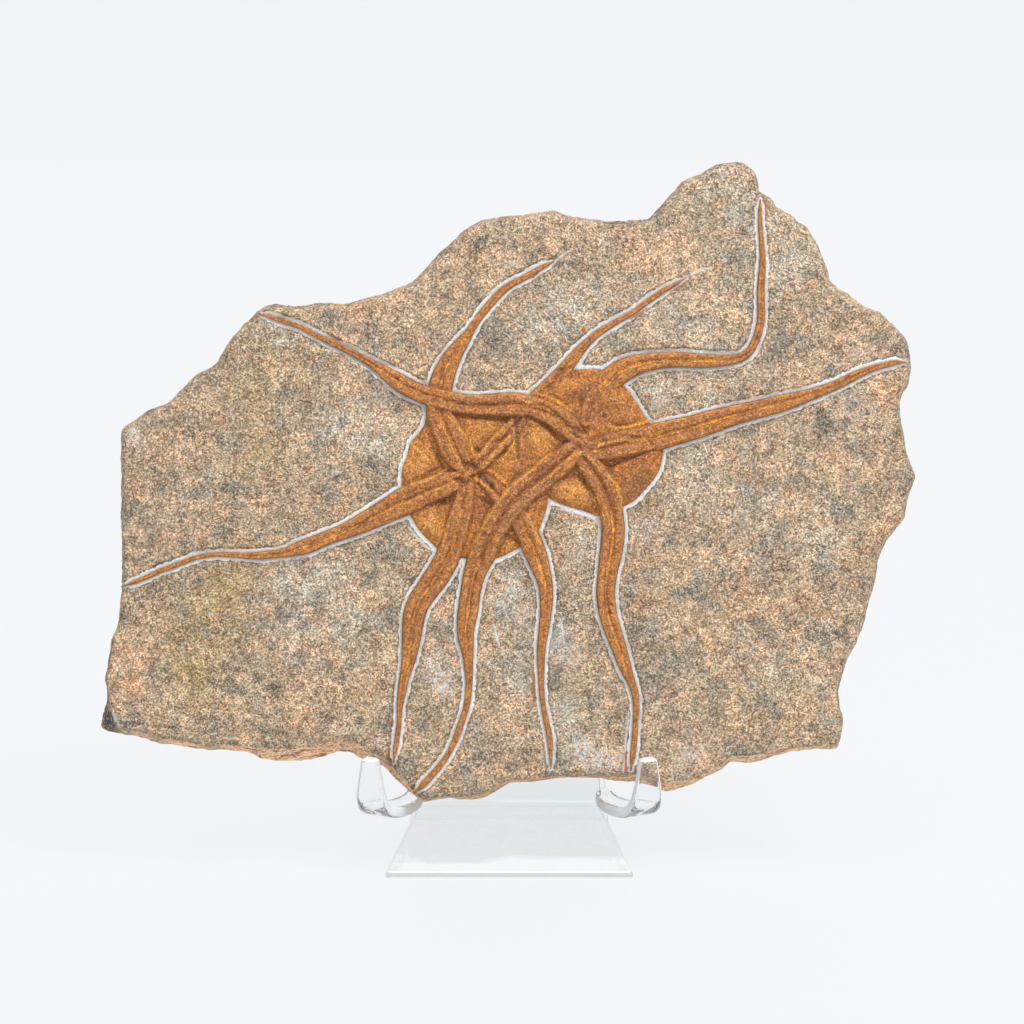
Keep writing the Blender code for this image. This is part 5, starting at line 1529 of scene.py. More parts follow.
@dataclass
class ClearStand:
    """One bent sheet of clear acrylic with two forward hooks."""

    plate: PlateFrame
    sheet: float = 3.0
    shift: float = -0.7
    plate_height: float = 90.65
    foot_cut: float = 0.45
    corner: float = 0.8
    end_rounding: float = 0.6
    corner_steps: int = 4
    bend_steps: int = 14
    hook_steps: int = 6
    crease_angle: float = radians(13.0)
    lip_front: float = -10.0
    end_facing: float = 0.5
    side_facing: float = 0.6

    def to_frame(self, points: Values) -> Values:
        """Move side-view points in millimetres into the model's frame in metres.

        Args:
            points: Across, depth and height.

        Returns:
            Points in the model's frame.
        """
        level = points.copy()
        level[:, 2] = np.maximum(level[:, 2], self.foot_cut)
        return level * MM + np.array(self.plate.origin) - np.array((0, 0, self.plate_height * MM))

    def section(self, half: float) -> Values:
        """Rounded rectangle across the sheet.

        Args:
            half: Half width of the sheet there.

        Returns:
            Offsets along the width and along the thickness.
        """
        offsets = []
        for quarter, (across, out) in enumerate(((1, 1), (-1, 1), (-1, -1), (1, -1))):
            centre = (across * (half - self.corner), out * (self.sheet / 2.0 - self.corner))
            for step in range(self.corner_steps + 1):
                angle = radians(90.0 * quarter + 90.0 * step / self.corner_steps)
                offsets.append((
                    centre[0] + self.corner * cos(angle),
                    centre[1] + self.corner * sin(angle),
                ))
        return np.array(offsets)

    def sweep(self, name: str, stations: list[Values]) -> bpy.types.Object:
        """Skin a row of sections into one closed strip.

        Args:
            name: Name of the new object.
            stations: Sections with the same number of points.

        Returns:
            The new object.
        """
        work = bmesh.new()
        rings = [[work.verts.new(point) for point in self.to_frame(row)] for row in stations]
        for first, second in zip(rings[:-1], rings[1:]):
            for i in range(len(first)):
                j = (i + 1) % len(first)
                work.faces.new((first[i], first[j], second[j], second[i]))
        work.faces.new(rings[0][::-1])
        work.faces.new(rings[-1])
        bmesh.ops.recalc_face_normals(work, faces=work.faces)
        mesh = bpy.data.meshes.new(name)
        work.to_mesh(mesh)
        work.free()
        return link_object(name, mesh)

    def side_line(self) -> list[tuple[Vector, float]]:
        """Side view of the sheet with its bends rounded."""
        line = STAND_LINE
        result = [(Vector(line[0][:2]), line[0][2])]
        for before, corner, after in zip(line[:-2], line[1:-1], line[2:]):
            point = Vector(corner[:2])
            back = (Vector(before[:2]) - point).normalized()
            ahead = (Vector(after[:2]) - point).normalized()
            half = back.angle(ahead) / 2.0
            reach = corner[3] * cos(half) / sin(half)
            centre = point + (back + ahead).normalized() * (corner[3] / sin(half))
            begin = point + back * reach - centre
            end = point + ahead * reach - centre
            for step in range(self.bend_steps + 1):
                spoke = begin.slerp(end, step / self.bend_steps)
                result.append((centre + spoke.normalized() * corner[3], corner[2]))
        result.append((Vector(line[-1][:2]), line[-1][2]))
        return result

    def build_sheet(self) -> bpy.types.Object:
        """Foot panel, back rest and rear leg."""
        line = self.side_line()
        stations = []
        for i, (point, half) in enumerate(line):
            run = (line[min(i + 1, len(line) - 1)][0] - line[max(i - 1, 0)][0]).normalized()
            section = self.section(half)
            depth = point.x - run.y * section[:, 1]
            height = point.y + run.x * section[:, 1]
            if i == len(line) - 1:
                slide = height / run.y
                depth = depth - run.x * slide
                height = height - run.y * slide
            stations.append(np.column_stack((section[:, 0] + self.shift, depth, height)))
        stations.insert(0, self.end_section(stations[0], stations[1]))
        return self.sweep("display_stand_clear", stations)

    def end_section(self, first: Values, second: Values) -> Values:
        """Slightly smaller section that rounds off a strip's end.

        Args:
            first: The end section.
            second: The section beside it.

        Returns:
            The new end section.
        """
        centre = first.mean(axis=0)
        run = centre - second.mean(axis=0)
        run /= np.linalg.norm(run)
        offset = first - centre
        length = np.linalg.norm(offset, axis=1, keepdims=True)
        smaller = offset * np.clip(1.0 - self.corner / length, 0.0, 1.0)
        return centre + smaller + run * self.corner * self.end_rounding

    def build_hook(self, name: str, side: float) -> bpy.types.Object:
        """One strip that reaches forward and curls up into a lip.

        Args:
            name: Name of the new object.
            side: Minus one for the left hook and one for the right.

        Returns:
            The new object.
        """
        table = np.array(HOOK_LINE)
        count = (len(table) - 1) * self.hook_steps + 1
        at = np.linspace(0, len(table) - 1, count)
        rows = np.stack([np.interp(at, np.arange(len(table)), column) for column in table.T], 1)
        rows = relax(rows, 4 * self.hook_steps)
        axis = np.column_stack((side * rows[:, 0] + self.shift, rows[:, 1], rows[:, 2]))
        stations = []
        for i, row in enumerate(rows):
            run = Vector(axis[min(i + 1, count - 1)] - axis[max(i - 1, 0)]).normalized()
            turn = radians(row[4])
            across = Vector((side * cos(turn), sin(turn), 0.0))
            across = (across - run * across.dot(run)).normalized()
            normal = run.cross(across).normalized()
            section = self.section(row[3])
            points = axis[i] + section[:, 0:1] * np.array(across)
            stations.append(points + section[:, 1:2] * np.array(normal))
        stations.append(self.end_section(stations[-1], stations[-2]))
        return self.sweep(name, stations)

    def build(self) -> bpy.types.Object:
        """Join the sheet and both hooks into one solid."""
        stand = self.build_sheet()
        for name, side in (("hook_left", -1.0), ("hook_right", 1.0)):
            hook = self.build_hook(name, side)
            join = stand.modifiers.new("join", "BOOLEAN")
            join.operation = "UNION"
            join.solver = "EXACT"
            join.object = hook
            mesh = plain_mesh(stand)
            stand.modifiers.clear()
            stand.data = mesh
            bpy.data.objects.remove(hook, do_unlink=True)
        shade_smooth(stand.data)
        stand.data.set_sharp_from_angle(angle=self.crease_angle)
        self.mark_sawn(stand.data)
        return stand

    def mark_sawn(self, mesh: bpy.types.Mesh) -> None:
        """Give the sheet's sawn edges the second material.

        Args:
            mesh: Joined mesh of the whole stand.
        """
        normals = read_values(mesh.polygons, "normal", 3, np.float32)
        centres = read_values(mesh.polygons, "center", 3, np.float32)
        front_end = (normals[:, 1] < -self.end_facing) & (centres[:, 2] < 2.0 * self.sheet * MM)
        front_end &= centres[:, 1] < 0.0
        lips = centres[:, 1] < self.lip_front * MM
        lip_ends = lips & (centres[:, 2] > centres[lips, 2].max() - self.corner * MM)
        sawn = (np.abs(normals[:, 0]) > self.side_facing) | front_end | lip_ends
        mesh.polygons.foreach_set("material_index", sawn.astype(np.int32))


def plain_mesh(item: bpy.types.Object) -> bpy.types.Mesh:
    """Turn an object with its modifiers into a plain mesh."""
    graph = bpy.context.evaluated_depsgraph_get()
    return bpy.data.meshes.new_from_object(item.evaluated_get(graph))


class TreeBench:
    """Short calls for building a node tree."""

    def __init__(self, tree: bpy.types.NodeTree) -> None:
        """Start on a tree."""
        self.nodes, self.links = tree.nodes, tree.links

    def feed(self, socket: Socket, value: object) -> None:
        """Link an output to a socket, or set the socket's own value.

        Args:
            socket: Input to feed.
            value: Output socket or plain value.
        """
        if isinstance(value, Socket):
            self.links.new(value, socket)
        else:
            socket.default_value = value

    def add(
        self, kind: str, inputs: dict[str | int, object] | None = None, **settings: object
    ) -> bpy.types.Node:
        """Add a node with its settings and inputs.

        Args:
            kind: Type of the node.
            inputs: Sockets or values for its inputs, by name or number.
            settings: Other properties of the node.

        Returns:
            The node.
        """
        node = self.nodes.new(kind)
        for name, value in settings.items():
            setattr(node, name, value)
        for key, value in (inputs or {}).items():
            self.feed(node.inputs[key], value)
        return node


class Scatter(Enum):
    """What is strewn over the rock, and the mask that leaves it room."""

    GRAIN = ("sand_grains", "grain_room")
    CHIP = ("edge_chips", "chip_room")


@dataclass
class RockScatter:
    """Loose grains or chips that stand out of the rock, by Geometry Nodes."""

    kind: Scatter
    density: float
    smallest: float
    largest: float
    seed: int
    leanest: tuple[float, float, float] = (0.7, 0.7, 0.45)
    fattest: tuple[float, float, float] = (1.3, 1.3, 0.9)
    chip_block: tuple[float, float, float] = (1.7, 1.7, 1.1)
    tilt: float = 0.5

    def pebble(self, bench: TreeBench) -> Socket:
        """Shape of one grain or chip.

        Args:
            bench: Tree being built.

        Returns:
            The mesh output.
        """
        if self.kind is Scatter.GRAIN:
            node = bench.add("GeometryNodeMeshIcoSphere", {"Radius": 1.0, "Subdivisions": 1})
        else:
            node = bench.add("GeometryNodeMeshCube", {"Size": self.chip_block})
        return node.outputs["Mesh"]

    def tree(self) -> bpy.types.NodeTree:
        """Node tree that strews pieces where the mask allows."""
        name, room = self.kind.value
        tree = bpy.data.node_groups.new(name, "GeometryNodeTree")
        for label, kind in (
            ("Rock", "Geometry"), ("Density", "Float"), ("Smallest", "Float"),
            ("Largest", "Float"), ("Seed", "Int"), ("Material", "Material"),
        ):
            tree.interface.new_socket(label, in_out="INPUT", socket_type="NodeSocket" + kind)
        tree.interface.new_socket("Pieces", in_out="OUTPUT", socket_type="NodeSocketGeometry")
        bench = TreeBench(tree)
        given = bench.add("NodeGroupInput").outputs
        seed = given["Seed"]
        mask = bench.add("GeometryNodeInputNamedAttribute", {"Name": room}, data_type="FLOAT")
        amount = bench.add(
            "ShaderNodeMath", {0: given["Density"], 1: mask.outputs["Attribute"]},
            operation="MULTIPLY",
        )
        strew = bench.add(
            "GeometryNodeDistributePointsOnFaces",
            {"Mesh": given["Rock"], "Density": amount.outputs[0], "Seed": seed},
        ).outputs
        size = bench.add(
            "FunctionNodeRandomValue", {2: given["Smallest"], 3: given["Largest"], "Seed": seed},
            data_type="FLOAT",
        )
        shape = bench.add(
            "FunctionNodeRandomValue",
            {0: self.leanest, 1: self.fattest, "Seed": self.seed + 1},
            data_type="FLOAT_VECTOR",
        )
        scale = bench.add(
            "ShaderNodeVectorMath", {0: shape.outputs[0], "Scale": size.outputs[1]},
            operation="SCALE",
        )
        turn = bench.add(
            "FunctionNodeRandomValue",
            {
                0: (-self.tilt, -self.tilt, 0.0), 1: (self.tilt, self.tilt, 2.0 * pi),
                "Seed": self.seed + 2,
            },
            data_type="FLOAT_VECTOR",
        )
        spin = bench.add(
            "FunctionNodeRotateRotation", {0: strew["Rotation"], 1: turn.outputs[0]},
            rotation_space="LOCAL",
        )
        stamp = bench.add("GeometryNodeInstanceOnPoints", {
            "Points": strew["Points"], "Instance": self.pebble(bench),
            "Rotation": spin.outputs[0], "Scale": scale.outputs[0],
        })
        real = bench.add("GeometryNodeRealizeInstances", {"Geometry": stamp.outputs["Instances"]})
        dress = bench.add(
            "GeometryNodeSetMaterial",
            {"Geometry": real.outputs["Geometry"], "Material": given["Material"]},
        )
        bench.add("NodeGroupOutput", {"Pieces": dress.outputs["Geometry"]})
        return tree

    def build(self, rock: bpy.types.Object, material: bpy.types.Material) -> bpy.types.Object:
        """Strew the pieces over the rock as one plain mesh.

        Args:
            rock: Rock mesh with its masks.
            material: Finish of the pieces.

        Returns:
            The new object.
        """
        name = self.kind.value[0]
        carrier = link_object(name + "_carrier", rock.data.copy())
        modifier = carrier.modifiers.new("strew", "NODES")
        modifier.node_group = self.tree()
        values = {
            "Density": self.density / MM**2,
            "Smallest": self.smallest * MM,
            "Largest": self.largest * MM,
            "Seed": self.seed,
            "Material": material,
        }
        for item in modifier.node_group.interface.items_tree:
            if item.in_out == "INPUT" and item.name in values:
                modifier[item.identifier] = values[item.name]
        mesh = plain_mesh(carrier)
        bpy.data.objects.remove(carrier, do_unlink=True)
        mesh.name = name
        return link_object(name, mesh)


class NodeBench(TreeBench):
    """Short calls for building the node tree of one material."""

    def __init__(self, name: str) -> None:
        """Start a material.

        Args:
            name: Name of the material.
        """
        self.material = bpy.data.materials.new(name)
        self.material.use_nodes = True
        super().__init__(self.material.node_tree)
        self.shader = self.nodes["Principled BSDF"]
        self.place = self.add("ShaderNodeTexCoord").outputs["Object"]

    def noise(
        self, size: float, detail: float = 3.0, rough: float = 0.6, shift: float = 0.0,
        stretch: tuple[float, float, float] = (1.0, 1.0, 1.0),
    ) -> Socket:
        """Noise of a given feature size.

        Args:
            size: Size of the coarsest features in millimetres.
            detail: Number of finer sizes.
            rough: Strength of the finer sizes.
            shift: Offset that tells one noise from the next.
            stretch: Scale along each axis, one being round.

        Returns:
            The noise's value output.
        """
        mapping = self.add("ShaderNodeMapping", {
            "Vector": self.place, "Location": (shift * 7.0, shift * 5.0, shift * 9.0),
            "Rotation": (-PLATE_LEAN, 0.0, 0.0), "Scale": stretch,
        })
        return self.add("ShaderNodeTexNoise", {
            "Vector": mapping.outputs["Vector"], "Scale": 1.0 / (size * MM),
            "Detail": detail, "Roughness": rough,
        }).outputs["Fac"]

    def grains(self, size: float, shift: float = 0.0) -> Socket:
        """One random value for each small grain.

        Args:
            size: Size of the grains in millimetres.
            shift: Offset that tells one pattern from the next.

        Returns:
            The value output.
        """
        location = (shift, shift * 0.6, shift * 1.7)
        mapping = self.add("ShaderNodeMapping", {"Vector": self.place, "Location": location})
        texture = self.add("ShaderNodeTexVoronoi", {
            "Vector": mapping.outputs["Vector"], "Scale": 1.0 / (size * MM),
        })
        split = self.add("ShaderNodeSeparateColor", {"Color": texture.outputs["Color"]})
        return split.outputs["Red"]

    def mark(self, name: str) -> Socket:
        """Value stored on the mesh under a name."""
        return self.add("ShaderNodeAttribute", attribute_name=name).outputs["Fac"]

    def band(
        self, value: Socket | tuple, start: float, end: float,
        low: float = 0.0, high: float = 1.0,
    ) -> Socket:
        """Turn a range of a value smoothly into another range.

        Args:
            value: Value to read, or what noise() takes, as a tuple.
            start: Value that gives low.
            end: Value that gives high.
            low: Result at the start.
            high: Result at the end.

        Returns:
            The result output.
        """
        value = self.noise(*value) if isinstance(value, tuple) else value
        return self.add("ShaderNodeMapRange", {
            "Value": value, "From Min": start, "From Max": end, "To Min": low, "To Max": high,
        }, interpolation_type="SMOOTHSTEP").outputs["Result"]

    def math(self, kind: str, first: object, second: object = 0.0) -> Socket:
        """Arithmetic on two values, sockets or numbers."""
        return self.add("ShaderNodeMath", {0: first, 1: second}, operation=kind).outputs[0]

    def times(self, first: object, *others: object) -> Socket:
        """Product of several values, sockets or numbers."""
        for other in others:
            first = self.math("MULTIPLY", first, other)
        return first

    def blend(self, share: object, first: object, second: object) -> Socket:
        """Mix two colours.

        Args:
            share: Share of the second colour, socket or number.
            first: First colour or its socket.
            second: Second colour or its socket.

        Returns:
            The colour output.
        """
        inputs = {0: share, 6: first, 7: second}
        return self.add("ShaderNodeMix", inputs, data_type="RGBA").outputs[2]

    def shade(self, colour: object, *levels: Socket) -> Socket:
        """Multiply a colour by grey levels, one leaving the colour as it is.

        Args:
            colour: Colour or its socket.
            levels: Grey levels.

        Returns:
            The colour output.
        """
        for level in levels:
            colour = colour if isinstance(colour, Socket) else colour[:3]
            inputs = {0: colour, "Scale": level}
            colour = self.add("ShaderNodeVectorMath", inputs, operation="SCALE").outputs[0]
        return colour

    def relief(self, height: Socket, depth: float, below: Socket | None = None) -> Socket:
        """Bump from a height.

        Args:
            height: Height between nought and one.
            depth: Depth of the relief in millimetres.
            below: Normal of a bump underneath.

        Returns:
            The normal output.
        """
        inputs = {"Strength": 1.0, "Distance": depth * MM, "Height": height}
        if below is not None:
            inputs["Normal"] = below
        return self.add("ShaderNodeBump", inputs).outputs["Normal"]

    def finish(self, inputs: dict[str, object]) -> bpy.types.Material:
        """Set or connect the shader's inputs.

        Args:
            inputs: Values or sockets by the input's name.

        Returns:
            The material.
        """
        for name, value in inputs.items():
            self.feed(self.shader.inputs[name], value)
        return self.material


@dataclass(frozen=True)
class SandstoneFinish:
    """Speckled peach, olive and grey sandstone with pale ground grooves, with painted shade and
    painted highlights along the grooves.
    """

    name: str = "speckled_sandstone"
    tan: Colour = tone(189, 166, 136)
    peach: Colour = tone(214, 178, 143)
    warm: Colour = tone(214, 166, 126)
    pale: Colour = tone(212, 206, 192)
    olive: Colour = tone(178, 152, 104)
    grey: Colour = tone(151, 143, 129)
    facet: Colour = tone(88, 84, 82)
    slate: Colour = tone(116, 108, 98)
    dark: Colour = tone(86, 71, 58)
    cream: Colour = tone(236, 228, 208)
    orange: Colour = tone(212, 166, 127)
    groove: Colour = tone(246, 251, 245)
    chalk: Colour = tone(228, 231, 231)
    # White of the painted highlight along the groove's lip.
    line: Colour = tone(252, 253, 253)
    # Dark grey of the painted shade along the groove's outer lip.
    lip_shade: Colour = tone(92, 92, 86)
    # Peach of the broken rim, lightened with painted bounce light from below.
    broken: Colour = tone(255, 205, 160)
    bedding: Colour = tone(136, 92, 62)
    strand: Colour = tone(190, 110, 46)
    stain_pull: float = 0.34
    tip_pull: float = 0.5

    def stains(self, bench: NodeBench) -> Socket:
        """Broad stains of the bare rock.

        Args:
            bench: Material being built.

        Returns:
            The colour output.
        """
        broad = bench.band((7.0, 6.0, 0.67, 0.11), 0.47, 0.6, 0.0, 0.85)
        colour = bench.blend(broad, self.tan, self.peach)
        cloud = bench.band((7.0, 6.0, 0.67, 0.37), 0.49, 0.61, 0.0, 0.85)
        colour = bench.blend(cloud, colour, self.grey)
        for mark, shift, stain, share in (
            ("warm", 0.33, self.warm, 0.75),
            ("pale", 0.67, self.pale, 0.8),
            ("olive", 0.53, self.olive, 0.9),
        ):
            ragged = bench.band((3.4, 5.0, 0.68, shift), 0.38, 0.56, 0.1, 1.0)
            colour = bench.blend(bench.times(bench.mark(mark), ragged, share), colour, stain)
        slate = bench.times(bench.mark("slate"), self.stain_pull)
        slate = bench.math("ADD", slate, bench.noise(5.0, 6.0, 0.72, 0.71))
        colour = bench.blend(bench.band(slate, 0.61, 0.79, 0.0, 0.85), colour, self.slate)
        facet = bench.band((1.2, 4.0, 0.75, 0.15), 0.38, 0.54, 0.35, 0.9)
        return bench.blend(bench.times(bench.mark("facet"), facet), colour, self.facet)

    def rock_colour(self, bench: NodeBench) -> Socket:
        """Mottled colour of the bare rock with its grains, cracks and flecks.

        Args:
            bench: Material being built.

        Returns:
            The colour output.
        """
        colour = self.stains(bench)
        blotch = bench.band((5.0, 5.0, 0.66, 0.19), 0.5, 0.62, 0.0, 0.5)
        colour = bench.blend(blotch, colour, self.orange)
        grain = bench.band(bench.grains(0.3), 0.0, 1.0, 0.46, 1.56)
        fine = bench.band((0.5, 2.0, 0.8, 0.22), 0.3, 0.7, 0.64, 1.4)
        mottle = bench.band((2.6, 5.0, 0.76, 0.42), 0.38, 0.62, 0.78, 1.23)
        depth = bench.band((12.0, 4.0, 0.6, 0.95), 0.36, 0.64, 0.92, 1.08)
        colour = bench.shade(colour, grain, fine, mottle, depth)
        spot = bench.band((0.8, 4.0, 0.8, 0.53), 0.53, 0.62, 0.0, 0.85)
        cluster = bench.band((4.5, 5.0, 0.75, 0.83), 0.42, 0.6, 0.35, 1.0)
        colour = bench.blend(bench.times(spot, cluster), colour, self.dark)
        crack = bench.math("SUBTRACT", bench.noise(4.2, 6.0, 0.7, 0.58), 0.5)
        crack = bench.band(bench.math("ABSOLUTE", crack), 0.004, 0.03, 0.7, 0.0)
        where = bench.band((6.0, 3.0, 0.6, 0.21), 0.48, 0.6)
        colour = bench.blend(bench.times(crack, where), colour, self.dark)
        fleck = bench.band((0.7, 3.0, 0.8, 0.91), 0.55, 0.64, 0.0, 0.75)
        return bench.blend(fleck, colour, self.cream)

    def broken_and_lit_colour(self, bench: NodeBench) -> Socket:
        """Colour of the freshly broken rim with its bedding, lightened with painted bounce light
        from below.

        Args:
            bench: Material being built.

        Returns:
            The colour output.
        """
        beds = bench.band((1.3, 5.0, 0.8, 0.88, (0.3, 1.0, 1.0)), 0.51, 0.57, 0.0, 0.9)
        colour = bench.blend(beds, self.broken, self.bedding)
        mottle = bench.band((3.0, 4.0, 0.7, 0.62), 0.54, 0.64, 0.0, 0.5)
        colour = bench.blend(mottle, colour, self.grey)
        colour = bench.shade(colour, bench.band(bench.grains(0.34, 0.3), 0.0, 1.0, 0.54, 1.5))
        fleck = bench.band((0.9, 4.0, 0.8, 0.27), 0.55, 0.62, 0.0, 0.7)
        return bench.blend(fleck, colour, self.cream)

    def groove_colour(self, bench: NodeBench, gap: Socket) -> Socket:
        """Powdery colour of the ground groove, with painted shade at the star's foot and a painted
        highlight line near its lip.

        Args:
            bench: Material being built.
            gap: Distance from the star in millimetres.

        Returns:
            The colour output.
        """
        powder = bench.band((0.6, 4.0, 0.85, 0.35), 0.36, 0.62, 0.8, 1.02)
        ground = bench.shade(self.groove, powder)
        # Painted shade: the ground darkens towards the star's foot.
        ground = bench.shade(ground, bench.band(gap, 0.05, 0.5, 0.8, 1.0))
        # Painted highlight: a broken white line near the groove's lip.
        edge = bench.times(bench.band(gap, 0.3, 0.5), bench.band(gap, 0.72, 0.9, 1.0, 0.0))
        edge = bench.times(edge, bench.band((2.4, 3.0, 0.7, 0.29), 0.4, 0.55, 0.15, 0.9))
        return bench.blend(edge, ground, self.line)

    def build(self) -> bpy.types.Material:
        """Build the material."""
        bench = NodeBench(self.name)
        colour = self.rock_colour(bench)
        gap = bench.mark("star_gap")
        wander = bench.band((1.3, 4.0, 0.75, 0.44), 0.3, 0.7, -0.26, 0.26)
        gap = bench.math("ADD", gap, wander)
        # The lower broken rim gets its peach colour lightened with painted bounce light.
        rim = bench.math("ADD", bench.mark("broken"), bench.noise(1.6, 4.0, 0.8, 0.77))
        broken_and_lit = bench.math("SUBTRACT", bench.band(rim, 0.8, 1.15, 0.0, 0.9), bench.mark("slate"))
        broken_and_lit.node.use_clamp = True
        colour = bench.blend(broken_and_lit, colour, self.broken_and_lit_colour(bench))
        # Painted shade: a patchy dark band along the groove's outer lip.
        lip_shade = bench.times(bench.band(gap, 0.74, 0.94), bench.band(gap, 1.0, 1.5, 1.0, 0.0))
        patchy = bench.band((0.9, 5.0, 0.85, 0.37), 0.46, 0.56, 0.0, 0.9)
        colour = bench.blend(bench.times(lip_shade, patchy), colour, self.lip_shade)
        ground = self.groove_colour(bench, gap)
        reach = bench.math("ADD", gap, bench.times(bench.mark("tip"), self.tip_pull))
        colour = bench.blend(bench.band(reach, 0.74, 0.92, 0.97, 0.0), colour, ground)
        dust = bench.band((1.2, 5.0, 0.8, 0.04), 0.46, 0.58)
        dust = bench.times(bench.mark("chalk"), dust)
        dust = bench.math("MAXIMUM", dust, bench.mark("scratch"))
        colour = bench.blend(bench.times(dust, 0.95), colour, self.chalk)
        colour = bench.blend(bench.mark("strand"), colour, self.strand)
        normal = bench.relief(bench.noise(3.2, 6.0, 0.72, 0.29), 0.9)
        normal = bench.relief(bench.noise(0.7, 3.0, 0.75, 0.66), 0.34, normal)
        roughness = bench.band((1.0, 3.0, 0.7, 0.55), 0.3, 0.7, 0.8, 0.98)
        return bench.finish({
            "Base Color": colour, "Roughness": roughness, "Normal": normal,
            "Specular IOR Level": 0.25,
        })


@dataclass(frozen=True)
class GrainFinish:
    """Single sand grains, each of one colour."""

    name: str = "sand_grains"
    pale: Colour = tone(204, 180, 150)
    peach: Colour = tone(206, 158, 120)
    grey: Colour = tone(112, 104, 94)
    grain_size: float = 0.9

    def build(self) -> bpy.types.Material:
        """Build the material."""
        bench = NodeBench(self.name)
        which = bench.grains(self.grain_size, 2.0)
        colour = bench.blend(bench.band(which, 0.3, 0.7), self.grey, self.pale)
        other = bench.grains(self.grain_size, 5.0)
        colour = bench.blend(bench.band(other, 0.55, 0.75, 0.0, 0.8), colour, self.peach)
        fine = bench.noise(0.3, 3.0, 0.8)
        colour = bench.shade(colour, bench.band(fine, 0.3, 0.7, 0.8, 1.12))
        return bench.finish({
            "Base Color": colour, "Roughness": 0.85, "Normal": bench.relief(fine, 0.08),
        })


